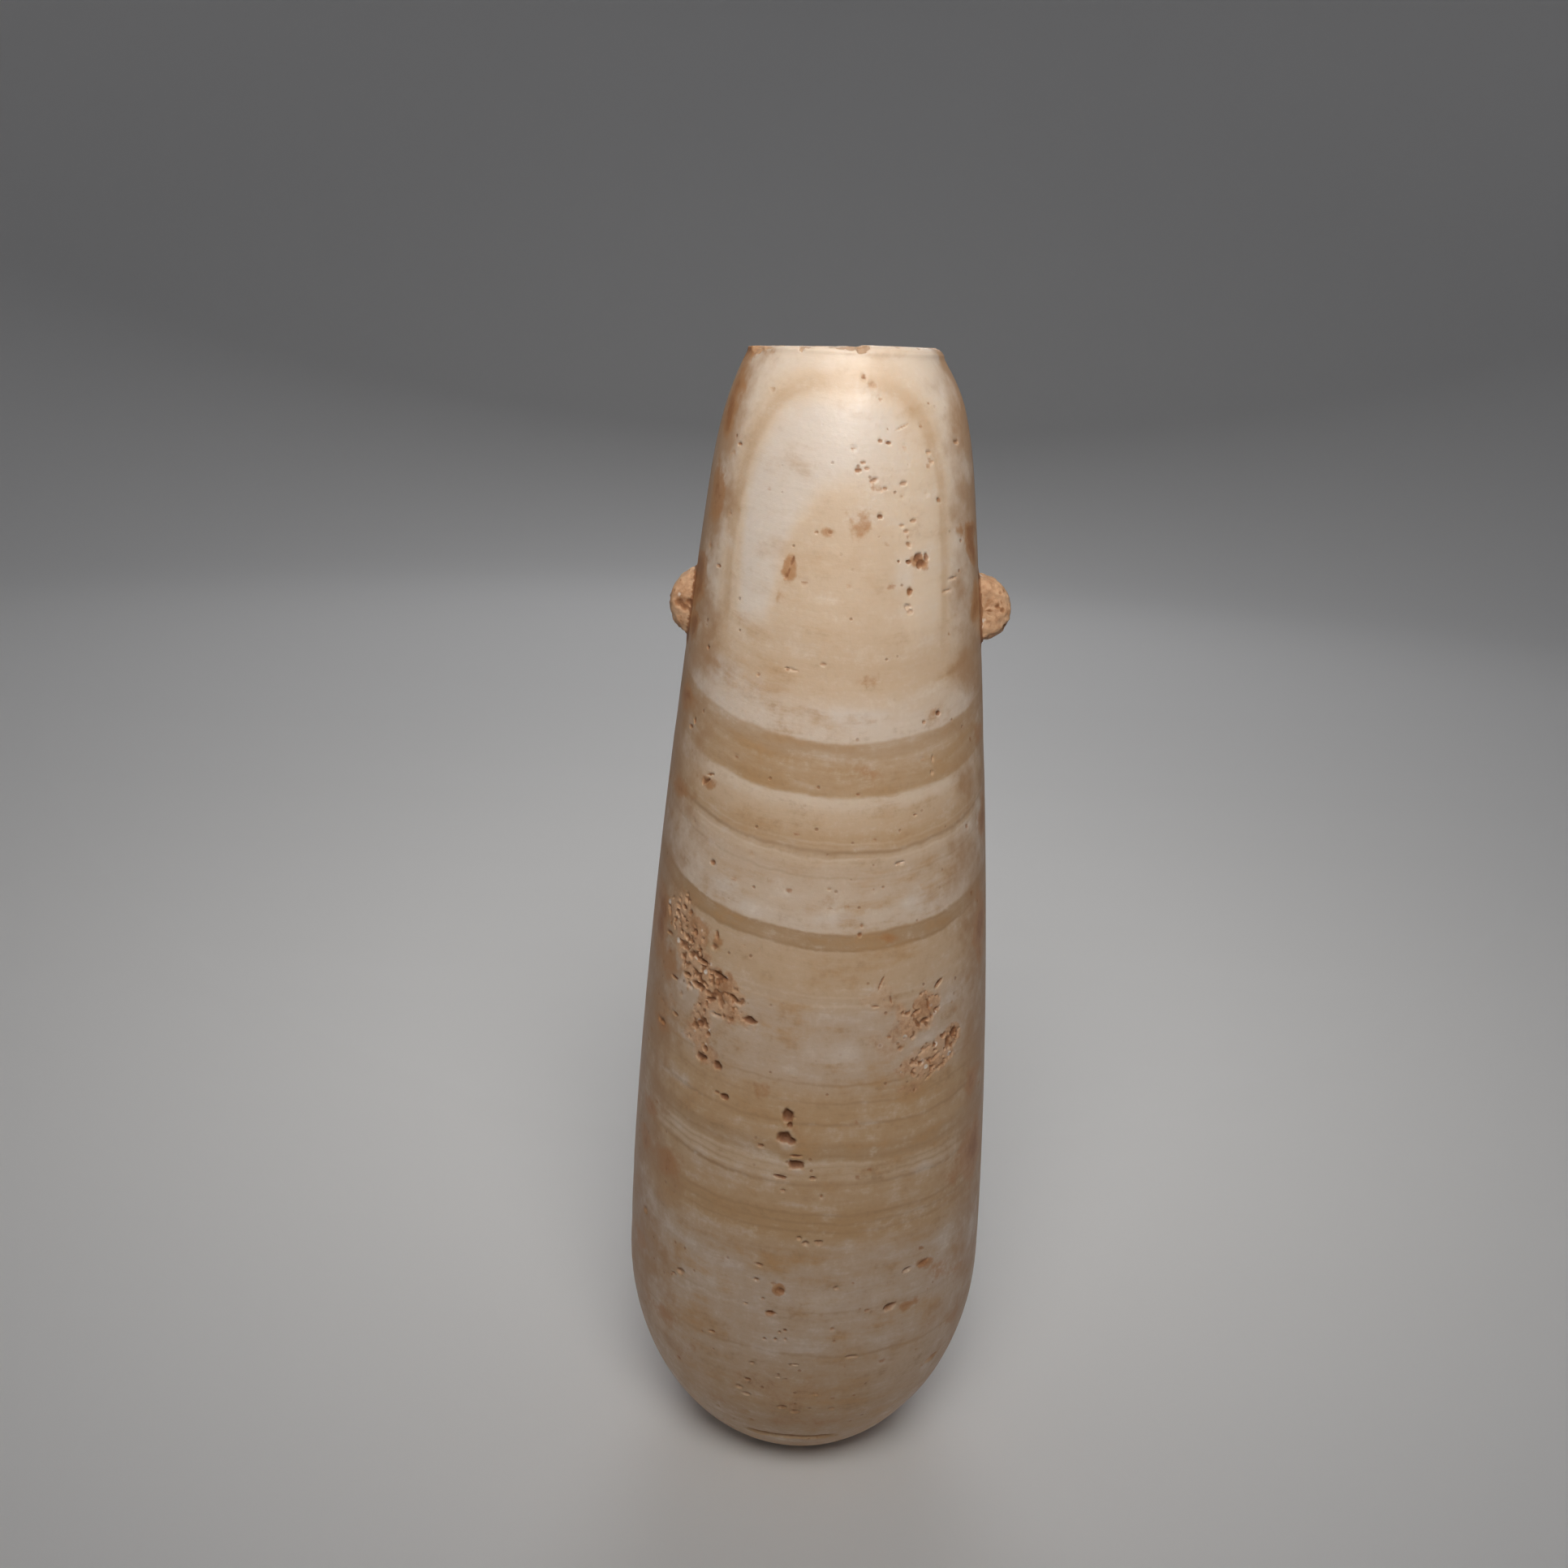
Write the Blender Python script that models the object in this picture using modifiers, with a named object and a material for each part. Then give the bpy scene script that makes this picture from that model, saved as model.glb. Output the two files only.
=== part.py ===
"""Alabastron: a drop-shaped vessel turned and bored from one block of banded calcite, with two lugs left
standing at the shoulder. The neck and rim are lost, and the body ends above in a ground lip with old breaks
and chips. The largest of the pits that the soil has eaten into the wall are modelled too.

Metres, +Z up. The origin is the centre of the foot. The lugs stand at -X and +X, and -Y is the front.
"""

import math

import bmesh
import bpy
from mathutils import Matrix

# Outer form
HEIGHT = 0.200
BELLY_RADIUS = 0.0326
BELLY_HEIGHT = 0.038
FOOT_RADIUS = 0.012
SHOULDER_HEIGHT = 0.175
TAPER_TO_SHOULDER = 0.0104
TAPER_POWER = 1.6
SHOULDER_DROP = 0.0035
LIP_EDGE_WIDTH = 0.0017
LIP_EDGE_HEIGHT = 0.0016

# Cavity
BORE_RADIUS = 0.0095
WALL = 0.0070
FLOOR_THICKNESS = 0.014
CAVITY_BELLY_HEIGHT = 0.045
NECK_TOP = 0.186
NECK_BOTTOM = 0.140
BORE_EDGE = 0.0005

# Lugs, parts of a disc that stand out from the wall: the disc's height on the body, its radius, how far its
# centre lies inside the wall, and which way out it faces along X. The left one is worn shallower.
LUGS = {
    "left": (0.1572, 0.0064, 0.0026, -1),
    "right": (0.1583, 0.0057, 0.0003, 1),
}
LUG_THICKNESS = 0.0080
LUG_EDGE = 0.0015
LUG_SHARP_ANGLE = math.radians(50)

# The mouth's break: left of the step the lip is worn lower, and it falls away to the left
BREAK_STEP_X = 0.0010
BREAK_DEPTH = 0.0005
BREAK_SLOPE = math.radians(2.0)
BREAK_SKEW = math.radians(7.0)
BREAK_SLAB = (0.040, 0.060, 0.010)

# Chips on the lip: azimuth from the front towards +X in degrees, distance from the axis, and half width,
# half depth and half height of the flake that is gone
CHIPS = {
    "front_notch": (-25.0, 0.0157, 0.0013, 0.0017, 0.0014),
    "front_flake": (-6.5, 0.0160, 0.0021, 0.0016, 0.0015),
    "front_bite": (4.5, 0.0160, 0.0022, 0.0019, 0.0017),
    "left_scrape": (-69.0, 0.0160, 0.0025, 0.0014, 0.0017),
    "back_flake": (160.0, 0.0162, 0.0034, 0.0017, 0.0015),
    "back_nibble": (-118.0, 0.0158, 0.0018, 0.0014, 0.0014),
}
CHIP_TILT = math.radians(8.0)

# Pits in the wall: azimuth as above, height, and half width, half height and depth of the hollow
PITS = [
    (-8.0, 0.0780, 0.0012, 0.0014, 0.0007),
    (-8.5, 0.0740, 0.0012, 0.0011, 0.0006),
    (-5.0, 0.0700, 0.0013, 0.0015, 0.0007),
    (-33.0, 0.0840, 0.0011, 0.0011, 0.0006),
    (-46.0, 0.1050, 0.0019, 0.0013, 0.0006),
    (-41.0, 0.0985, 0.0024, 0.0015, 0.0008),
    (-34.0, 0.0950, 0.0020, 0.0012, 0.0007),
    (33.0, 0.0960, 0.0020, 0.0011, 0.0006),
    (48.0, 0.0890, 0.0017, 0.0013, 0.0008),
    (27.0, 0.0420, 0.0014, 0.0010, 0.0006),
]

# How finely the round shapes are cut into facets
TURNED_STEPS = 64
WAIST_ROWS = 15
SHOULDER_ROWS = 8
BOTTOM_ROWS = 11
EDGE_ROWS = 3
CAVITY_ROWS = 15
CAVITY_FLOOR_ROWS = 7
LUG_STEPS = 32
LUG_EDGE_STEPS = 2
MERGE = 0.00001

STONE_COLOUR = (0.68, 0.53, 0.38, 1.0)
STONE_ROUGHNESS = 0.45


def clear_scene():
    for obj in list(bpy.data.objects):
        bpy.data.objects.remove(obj, do_unlink=True)


def new_collection(name):
    collection = bpy.data.collections.new(name)
    bpy.context.scene.collection.children.link(collection)
    return collection


def calcite():
    material = bpy.data.materials.new("calcite")
    material.use_nodes = True
    shader = material.node_tree.nodes["Principled BSDF"]
    shader.inputs["Base Color"].default_value = STONE_COLOUR
    shader.inputs["Roughness"].default_value = STONE_ROUGHNESS
    shader.inputs["Metallic"].default_value = 0.0
    return material


def body_radius(z):
    """Outer radius above the belly: a slow taper, and from the shoulder up a quicker inward turn."""
    along = (z - BELLY_HEIGHT) / (SHOULDER_HEIGHT - BELLY_HEIGHT)
    over_shoulder = max(0.0, (z - SHOULDER_HEIGHT) / (HEIGHT - SHOULDER_HEIGHT))
    return BELLY_RADIUS - TAPER_TO_SHOULDER * along**TAPER_POWER - SHOULDER_DROP * over_shoulder**3


def smooth_step(t):
    t = min(1.0, max(0.0, t))
    return t * t * (3.0 - 2.0 * t)


def cavity_radius(z):
    """Inner radius above the cavity's belly: an even wall, drawn in to a straight bore at the neck."""
    drawn_in = smooth_step((z - NECK_BOTTOM) / (NECK_TOP - NECK_BOTTOM))
    return (body_radius(z) - WALL) * (1.0 - drawn_in) + BORE_RADIUS * drawn_in


def steps_between(first, last, count):
    return [first + (last - first) * i / count for i in range(count + 1)]


def cavity_profile():
    """From the middle of the cavity's floor up to the mouth, as (radius, height)."""
    floor = FLOOR_THICKNESS
    rise = CAVITY_BELLY_HEIGHT - floor
    belly = cavity_radius(CAVITY_BELLY_HEIGHT)
    points = []
    for angle in steps_between(0.0, math.pi / 2, CAVITY_FLOOR_ROWS):
        points.append((belly * math.sin(angle), floor + rise * (1.0 - math.cos(angle))))
    top = HEIGHT - BORE_EDGE
    for z in steps_between(CAVITY_BELLY_HEIGHT, top, CAVITY_ROWS)[1:]:
        points.append((cavity_radius(z), z))
    points.append((BORE_RADIUS + BORE_EDGE, HEIGHT))
    return points


def outer_profile():
    """From the lip over its rounded edge, down the body and round the bottom to the middle of the foot."""
    edge_bottom = HEIGHT - LIP_EDGE_HEIGHT
    edge_radius = body_radius(edge_bottom)
    points = []
    for angle in steps_between(math.pi / 2, 0.0, EDGE_ROWS):
        inwards = LIP_EDGE_WIDTH * (1.0 - math.cos(angle))
        down = LIP_EDGE_HEIGHT * (1.0 - math.sin(angle))
        points.append((edge_radius - inwards, HEIGHT - down))
    for z in steps_between(edge_bottom, SHOULDER_HEIGHT, SHOULDER_ROWS)[1:]:
        points.append((body_radius(z), z))
    for z in steps_between(SHOULDER_HEIGHT, BELLY_HEIGHT, WAIST_ROWS)[1:]:
        points.append((body_radius(z), z))
    # The bottom is an ellipse's quarter, cut off flat where its radius is the foot's
    foot_angle = math.asin(FOOT_RADIUS / BELLY_RADIUS)
    depth = BELLY_HEIGHT / math.cos(foot_angle)
    for angle in steps_between(math.pi / 2, foot_angle, BOTTOM_ROWS)[1:]:
        points.append((BELLY_RADIUS * math.sin(angle), BELLY_HEIGHT - depth * math.cos(angle)))
    points.append((0.0, 0.0))
    return points


def turned_body(collection, material):
    profile = cavity_profile() + outer_profile()
    mesh = bpy.data.meshes.new("alabastron")
    edges = [(i, i + 1) for i in range(len(profile) - 1)]
    mesh.from_pydata([(radius, 0.0, z) for radius, z in profile], edges, [])
    mesh.materials.append(material)
    body = bpy.data.objects.new("alabastron", mesh)
    collection.objects.link(body)
    screw = body.modifiers.new("turning", "SCREW")
    screw.axis = "Z"
    screw.steps = TURNED_STEPS
    screw.render_steps = TURNED_STEPS
    screw.use_merge_vertices = True
    screw.merge_threshold = MERGE
    screw.use_smooth_shade = True
    return body


def helper_object(name, shape, collection, material=None):
    """An object that shapes the body and isn't part of it."""
    mesh = bpy.data.meshes.new(name)
    shape.to_mesh(mesh)
    shape.free()
    if material:
        mesh.materials.append(material)
    helper = bpy.data.objects.new(name, mesh)
    helper.hide_render = True
    helper.display_type = "WIRE"
    collection.objects.link(helper)
    return helper


def lug(side, collection, material):
    """A disc on edge, its centre inside the wall, with softened rims."""
    height, radius, sink, outwards = LUGS[side]
    shape = bmesh.new()
    bmesh.ops.create_cone(
        shape,
        cap_ends=True,
        segments=LUG_STEPS,
        radius1=radius,
        radius2=radius,
        depth=LUG_THICKNESS,
    )
    disc = helper_object(f"{side}_lug", shape, collection, material)
    disc.location = (outwards * (body_radius(height) - sink), 0.0, height)
    disc.rotation_euler = (math.pi / 2, 0.0, 0.0)
    softened = disc.modifiers.new("softened rim", "BEVEL")
    softened.width = LUG_EDGE
    softened.segments = LUG_EDGE_STEPS
    disc.data.shade_smooth()
    disc.data.set_sharp_from_angle(angle=LUG_SHARP_ANGLE)
    return disc


def break_cutter(collection):
    """A slab whose underside is the worn part of the lip."""
    length, _, thickness = BREAK_SLAB
    shape = bmesh.new()
    bmesh.ops.create_cube(shape, size=1.0)
    bmesh.ops.scale(shape, vec=BREAK_SLAB, verts=shape.verts)
    bmesh.ops.translate(shape, vec=(-length / 2, 0.0, thickness / 2), verts=shape.verts)
    slab = helper_object("lip_break", shape, collection)
    slab.location = (BREAK_STEP_X, 0.0, HEIGHT - BREAK_DEPTH)
    slab.rotation_euler = (0.0, -BREAK_SLOPE, BREAK_SKEW)
    return slab


def chip_cutter(name, collection):
    azimuth, distance, half_width, half_depth, half_height = CHIPS[name]
    shape = bmesh.new()
    bmesh.ops.create_icosphere(shape, subdivisions=2, radius=1.0)
    bmesh.ops.scale(shape, vec=(half_width, half_depth, half_height), verts=shape.verts)
    flake = helper_object(f"{name}_chip", shape, collection)
    turn = math.radians(azimuth)
    flake.location = (distance * math.sin(turn), -distance * math.cos(turn), HEIGHT)
    flake.rotation_euler = (0.0, CHIP_TILT, turn)
    return flake


def pit_cutter(collection):
    """One flattened ball for each pit, half in the wall."""
    shape = bmesh.new()
    for azimuth, height, half_width, half_height, depth in PITS:
        turn = math.radians(azimuth)
        reach = body_radius(height)
        ball = bmesh.ops.create_icosphere(shape, subdivisions=1, radius=1.0)["verts"]
        bmesh.ops.scale(shape, vec=(half_width, depth, half_height), verts=ball)
        bmesh.ops.translate(shape, vec=(0.0, -reach, height), verts=ball)
        bmesh.ops.rotate(shape, cent=(0.0, 0.0, 0.0), matrix=Matrix.Rotation(turn, 3, "Z"), verts=ball)
    return helper_object("pits", shape, collection)


def apply_shape(body, helper, operation):
    step = body.modifiers.new(helper.name, "BOOLEAN")
    step.operation = operation
    step.object = helper
    step.solver = "EXACT"


def main():
    clear_scene()
    parts = new_collection("alabastron")
    helpers = new_collection("cutters")
    material = calcite()
    body = turned_body(parts, material)
    for side in LUGS:
        apply_shape(body, lug(side, helpers, material), "UNION")
    apply_shape(body, break_cutter(helpers), "DIFFERENCE")
    for name in CHIPS:
        apply_shape(body, chip_cutter(name, helpers), "DIFFERENCE")
    apply_shape(body, pit_cutter(helpers), "DIFFERENCE")


main()
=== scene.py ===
"""Banded calcite alabastron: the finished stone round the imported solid, and a plain studio for it.

Metres, +Z up, the foot's centre at the origin. The lugs stand at -X and +X, and -Y is the front. Places on the
stone are given as an azimuth in degrees, counted from the front towards +X, and a height in millimetres.
"""

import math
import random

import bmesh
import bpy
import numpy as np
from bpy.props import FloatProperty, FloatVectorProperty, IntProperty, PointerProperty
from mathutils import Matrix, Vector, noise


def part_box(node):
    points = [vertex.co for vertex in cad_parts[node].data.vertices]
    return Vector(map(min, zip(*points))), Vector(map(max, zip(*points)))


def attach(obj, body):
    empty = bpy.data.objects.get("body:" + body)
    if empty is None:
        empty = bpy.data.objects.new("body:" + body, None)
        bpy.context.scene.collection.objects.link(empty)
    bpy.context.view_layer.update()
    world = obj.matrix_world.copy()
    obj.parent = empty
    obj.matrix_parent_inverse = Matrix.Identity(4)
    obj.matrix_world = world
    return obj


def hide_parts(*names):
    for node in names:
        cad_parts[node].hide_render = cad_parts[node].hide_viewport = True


bl_info = {
    "name": "Alabastron",
    "version": (1, 0, 0),
    "blender": (4, 5, 0),
    "location": "3D View > Sidebar > Alabastron",
    "description": "A worn drop-shaped vessel of banded calcite with two lugs and a broken mouth",
    "category": "Add Mesh",
}

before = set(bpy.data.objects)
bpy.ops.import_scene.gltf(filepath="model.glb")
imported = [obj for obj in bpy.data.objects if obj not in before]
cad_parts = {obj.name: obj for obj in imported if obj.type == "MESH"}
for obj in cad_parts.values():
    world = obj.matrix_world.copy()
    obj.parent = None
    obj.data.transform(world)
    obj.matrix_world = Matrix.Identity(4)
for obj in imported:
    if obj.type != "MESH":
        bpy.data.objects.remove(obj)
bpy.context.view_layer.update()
NODE = "alabastron"
LOW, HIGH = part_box(NODE)
MM = 0.001

# Lugs, parts of a disc that stand out from the wall: height on the body, radius, how far the centre lies inside
# the wall, in mm, and which way out it faces along X
LUGS = {
    "left": (157.2, 6.4, 2.6, -1),
    "right": (158.3, 5.7, 0.3, 1),
}
LUG_HALF_THICKNESS = 4.0
LUG_SQUARENESS = 0.5

# Dents in the lugs: side, distance out from the wall, height above the lug's middle, distance to the front of
# its middle plane, radius and depth, in mm
LUG_DENTS = [
    ("left", 1.9, 0.4, 3.6, 0.9, 0.55),
    ("left", 1.0, -0.3, 3.8, 0.8, 0.45),
    ("left", 0.2, 0.5, 3.8, 0.7, 0.50),
    ("left", 2.6, -4.3, 2.2, 1.3, 0.60),
    ("left", 0.9, -5.4, 1.6, 1.6, 0.80),
    ("left", 1.5, 1.8, -3.6, 1.2, 0.50),
    ("right", 2.6, 0.9, 3.8, 0.6, 0.45),
    ("right", 3.5, 0.3, 3.6, 0.6, 0.40),
    ("right", 1.6, 0.2, 3.9, 0.5, 0.30),
    ("right", 4.4, -2.6, 2.4, 1.1, 0.75),
    ("right", 3.2, -4.4, 1.0, 1.2, 0.50),
    ("right", 2.4, -1.6, -3.7, 1.1, 0.50),
]

# The mouth's break: left of the step the lip is worn lower, and it falls away to the left
BREAK_STEP = 2.0
BREAK_DEPTH = 0.3
BREAK_SLOPE = math.radians(2.0)
BREAK_SKEW = math.radians(-1.9)

# Flakes off the lip's outer edge: azimuth, half width along the lip, height of the broken face and how far it
# reaches inwards, in mm
CHIPS = [
    (-64.0, 3.4, 1.30, 1.6),
    (-52.0, 1.8, 0.80, 1.2),
    (-47.5, 0.5, 0.55, 0.9),
    (-42.0, 1.0, 0.35, 1.0),
    (-37.0, 0.8, 0.50, 1.1),
    (-28.2, 0.7, 1.00, 1.7),
    (-25.0, 1.2, 0.60, 1.4),
    (-21.5, 1.0, 0.45, 1.0),
    (-11.0, 1.2, 0.50, 1.2),
    (-6.5, 1.5, 0.65, 1.5),
    (-1.0, 1.6, 0.60, 1.6),
    (5.2, 1.4, 0.95, 1.9),
    (8.3, 0.8, 0.55, 1.1),
    (27.0, 1.0, 0.30, 0.9),
    (44.0, 1.4, 0.40, 1.0),
    (104.0, 2.0, 0.90, 1.4),
    (131.0, 0.9, 0.50, 1.0),
    (158.0, 3.2, 1.60, 2.2),
    (169.0, 1.4, 0.80, 1.2),
    (-118.0, 2.2, 1.30, 1.6),
    (-146.0, 1.0, 0.60, 1.2),
]

# Pits and scratches: azimuth, height, half width, half height, lean in degrees, depth and how much dirt sits in
# them, from 0 to 1
PITS = [
    # round the mouth
    (24.0, 188.3, 1.4, 0.2, 25.0, 0.12, 0.30),
    (13.6, 186.2, 0.45, 0.30, 0.0, 0.25, 0.55),
    (17.4, 185.9, 0.55, 0.35, 0.0, 0.30, 0.70),
    (37.0, 184.6, 0.70, 0.35, 0.0, 0.25, 0.35),
    (38.4, 183.2, 0.60, 0.30, 0.0, 0.20, 0.35),
    (57.0, 186.0, 0.80, 0.40, 0.0, 0.25, 0.40),
    (-53.0, 184.4, 0.60, 0.30, 0.0, 0.20, 0.55),
    (6.6, 182.9, 0.50, 0.30, 0.0, 0.20, 0.35),
    (4.8, 181.8, 0.60, 0.35, 0.0, 0.25, 0.45),
    (8.2, 182.1, 0.45, 0.25, 0.0, 0.20, 0.30),
    (11.4, 180.4, 0.75, 0.35, 20.0, 0.30, 0.40),
    (24.2, 180.0, 0.70, 0.35, 5.0, 0.25, 0.45),
    (16.0, 179.2, 0.45, 0.30, 0.0, 0.20, 0.35),
    # above the lugs
    (14.0, 175.0, 0.45, 0.35, 0.0, 0.30, 0.75),
    (28.4, 174.4, 0.60, 0.30, 10.0, 0.25, 0.40),
    (23.4, 173.7, 0.60, 0.30, 0.0, 0.20, 0.35),
    (25.2, 172.8, 0.50, 0.30, 0.0, 0.20, 0.35),
    (26.5, 170.9, 0.50, 0.35, 0.0, 0.20, 0.45),
    (-10.8, 172.3, 0.40, 0.25, 0.0, 0.15, 0.45),
    (-5.4, 172.4, 0.50, 0.40, 0.0, 0.10, 0.45),
    (30.9, 168.9, 0.95, 0.75, 25.0, 0.35, 0.80),
    (32.6, 168.0, 1.10, 0.65, -10.0, 0.35, 0.85),
    (31.2, 167.6, 0.50, 0.60, 0.0, 0.30, 0.75),
    (34.8, 168.8, 0.45, 0.75, 0.0, 0.30, 0.70),
    (26.6, 168.2, 0.55, 0.35, 0.0, 0.30, 0.80),
    (22.3, 168.3, 0.30, 0.25, 0.0, 0.25, 0.90),
    (27.0, 163.8, 0.50, 0.60, 0.0, 0.30, 0.65),
    (26.3, 161.4, 0.70, 0.50, 0.0, 0.30, 0.15),
    (27.6, 160.6, 0.50, 0.35, 0.0, 0.25, 0.10),
    (-19.2, 167.9, 0.28, 0.95, -14.0, 0.15, 0.75),
    (-20.6, 165.9, 0.28, 0.95, -14.0, 0.12, 0.60),
    (-56.0, 165.3, 0.80, 0.30, 0.0, 0.20, 0.45),
    (-56.0, 152.2, 0.50, 0.35, 0.0, 0.25, 0.70),
    (50.0, 165.2, 1.20, 0.30, 4.0, 0.25, 0.20),
    (46.0, 163.4, 1.30, 0.22, 6.0, 0.18, 0.15),
    (-5.0, 152.4, 0.60, 0.30, 0.0, 0.15, 0.40),
    (-16.0, 151.2, 1.70, 0.22, -7.0, 0.20, 0.05),
    (-29.0, 149.8, 0.40, 0.30, 0.0, 0.20, 0.35),
    # middle bands
    (40.3, 144.3, 0.60, 0.45, 0.0, 0.35, 0.95),
    (33.5, 143.2, 0.45, 0.35, 0.0, 0.20, 0.35),
    (37.6, 137.2, 0.30, 0.60, 0.0, 0.25, 0.05),
    (37.2, 134.9, 0.30, 0.45, 0.0, 0.25, 0.05),
    (-61.5, 138.6, 0.70, 0.40, 0.0, 0.25, 0.65),
    (-59.0, 139.9, 0.40, 0.60, 0.0, 0.20, 0.50),
    (-47.6, 131.0, 1.10, 0.28, 35.0, 0.30, 0.75),
    (-46.0, 132.3, 1.00, 0.22, 15.0, 0.20, 0.50),
    (-49.2, 130.8, 0.30, 0.80, -15.0, 0.25, 0.60),
    (9.2, 132.3, 0.50, 0.25, 0.0, 0.15, 0.55),
    (30.2, 128.5, 0.50, 0.22, 0.0, 0.15, 0.45),
    (24.6, 120.9, 0.90, 0.30, 12.0, 0.30, 0.10),
    (-40.8, 118.2, 0.60, 0.45, 0.0, 0.30, 0.60),
    (1.0, 117.0, 0.35, 0.25, 0.0, 0.15, 0.40),
    (11.4, 109.5, 0.45, 0.45, 0.0, 0.25, 0.65),
    (12.0, 111.0, 0.30, 0.35, 0.0, 0.20, 0.35),
    # left eroded patch and its tail
    (-56.0, 108.5, 0.90, 0.45, 0.0, 0.45, 0.10),
    (-52.5, 108.9, 0.70, 0.40, -10.0, 0.45, 0.80),
    (-36.2, 106.4, 0.40, 0.90, 10.0, 0.35, 0.65),
    (-37.0, 104.4, 0.60, 0.50, 0.0, 0.35, 0.60),
    (-45.6, 105.6, 0.50, 0.60, 0.0, 0.35, 0.65),
    (-60.5, 103.0, 1.30, 0.35, 5.0, 0.35, 0.60),
    (-50.5, 102.3, 1.40, 0.45, -8.0, 0.40, 0.60),
    (-41.6, 101.3, 1.60, 0.38, -6.0, 0.55, 0.85),
    (-34.0, 99.9, 1.70, 0.45, -14.0, 0.60, 0.95),
    (-48.0, 97.8, 1.10, 0.45, 0.0, 0.50, 0.70),
    (-42.4, 96.9, 1.60, 0.50, -5.0, 0.60, 0.85),
    (-54.6, 96.1, 1.30, 0.35, 0.0, 0.40, 0.70),
    (-36.5, 95.4, 1.10, 0.40, 20.0, 0.50, 0.75),
    (-28.0, 96.6, 1.30, 0.40, -32.0, 0.55, 0.80),
    (-21.9, 93.6, 1.30, 0.60, -6.0, 0.60, 0.95),
    (-34.0, 93.0, 1.20, 0.35, 0.0, 0.40, 0.35),
    (-40.0, 90.6, 0.80, 0.60, 0.0, 0.50, 0.85),
    (-52.0, 89.9, 0.90, 0.35, 0.0, 0.35, 0.60),
    (-60.0, 87.0, 1.50, 0.45, 0.0, 0.40, 0.60),
    (-38.6, 84.9, 1.10, 0.60, 0.0, 0.60, 1.00),
    (-37.4, 86.6, 0.45, 0.60, 0.0, 0.45, 0.75),
    (-32.3, 84.4, 0.85, 0.75, 0.0, 0.60, 1.00),
    (-28.8, 79.4, 0.95, 0.50, 0.0, 0.50, 1.00),
    (-31.6, 79.7, 0.60, 0.25, 0.0, 0.25, 0.60),
    # right eroded patch
    (19.0, 101.0, 0.22, 1.50, -24.0, 0.30, 0.60),
    (22.6, 98.2, 0.22, 0.80, 10.0, 0.25, 0.50),
    (17.4, 97.3, 0.80, 0.25, 0.0, 0.20, 0.50),
    (22.5, 91.8, 0.50, 0.25, 0.0, 0.20, 0.50),
    (41.2, 99.3, 1.20, 0.32, 32.0, 0.50, 0.90),
    (32.0, 95.3, 0.80, 0.30, 20.0, 0.40, 0.60),
    (35.6, 93.5, 0.95, 0.45, 10.0, 0.45, 0.75),
    (36.8, 96.2, 0.30, 1.10, 12.0, 0.40, 0.60),
    (26.4, 89.5, 0.55, 0.40, 0.0, 0.25, 0.40),
    (46.0, 88.2, 0.60, 1.20, 8.0, 0.50, 0.80),
    (49.2, 89.6, 0.90, 0.85, 25.0, 0.55, 0.90),
    (36.0, 88.3, 1.60, 0.22, 22.0, 0.25, 0.35),
    (40.0, 86.4, 1.80, 0.22, 24.0, 0.25, 0.35),
    (43.0, 84.6, 1.50, 0.22, 18.0, 0.25, 0.45),
    (38.0, 83.4, 1.20, 0.22, 28.0, 0.22, 0.35),
    # middle of the belly
    (-8.0, 78.3, 1.05, 1.30, 0.0, 0.90, 1.00),
    (-7.3, 76.6, 0.45, 0.55, 0.0, 0.60, 0.90),
    (-8.8, 74.3, 1.35, 1.05, 10.0, 0.95, 1.00),
    (-6.8, 73.8, 0.95, 0.75, -20.0, 0.70, 0.90),
    (-4.8, 71.3, 1.05, 0.22, 4.0, 0.40, 0.70),
    (-5.2, 69.7, 1.25, 0.90, 10.0, 0.80, 0.95),
    (-3.4, 69.5, 0.60, 0.50, 0.0, 0.60, 0.70),
    (-9.5, 67.3, 1.20, 0.30, -4.0, 0.40, 0.80),
    (0.4, 67.5, 0.60, 0.35, 0.0, 0.50, 0.50),
    (-15.8, 72.3, 0.55, 0.32, 0.0, 0.35, 0.65),
    (-8.4, 64.9, 0.40, 0.25, 0.0, 0.30, 0.35),
    (3.2, 64.2, 0.30, 0.30, 0.0, 0.30, 0.50),
    (-2.8, 56.4, 0.45, 0.35, 0.0, 0.50, 0.10),
    (-0.9, 55.5, 0.60, 0.45, 0.0, 0.60, 0.05),
    (3.1, 55.8, 0.70, 0.50, 10.0, 0.60, 0.10),
    # lower belly
    (-14.2, 50.6, 0.60, 0.32, 0.0, 0.35, 0.55),
    (-15.0, 47.7, 0.65, 0.38, 0.0, 0.45, 0.45),
    (-7.3, 46.2, 0.85, 0.50, 0.0, 0.35, 0.55),
    (-12.8, 44.3, 0.35, 0.28, 0.0, 0.25, 0.45),
    (-10.3, 41.8, 0.90, 0.38, 0.0, 0.50, 0.75),
    (-18.0, 42.7, 0.45, 0.25, 0.0, 0.25, 0.30),
    (-11.6, 36.6, 0.32, 0.28, 0.0, 0.35, 0.60),
    (-8.4, 36.8, 0.28, 0.25, 0.0, 0.35, 0.55),
    (-5.3, 37.0, 0.28, 0.25, 0.0, 0.30, 0.45),
    (-5.6, 38.8, 0.35, 0.28, 0.0, 0.40, 0.70),
    (-7.2, 38.3, 0.28, 0.25, 0.0, 0.35, 0.50),
    (8.6, 39.3, 0.40, 0.30, 0.0, 0.25, 0.35),
    (9.4, 36.8, 0.30, 0.30, 0.0, 0.25, 0.35),
    (9.0, 47.2, 0.50, 0.28, 0.0, 0.35, 0.15),
    (19.0, 42.2, 0.50, 0.30, 0.0, 0.15, 0.40),
    (32.2, 48.3, 0.95, 0.45, 12.0, 0.55, 0.35),
    (38.3, 48.5, 1.30, 0.45, 8.0, 0.30, 0.50),
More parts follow.
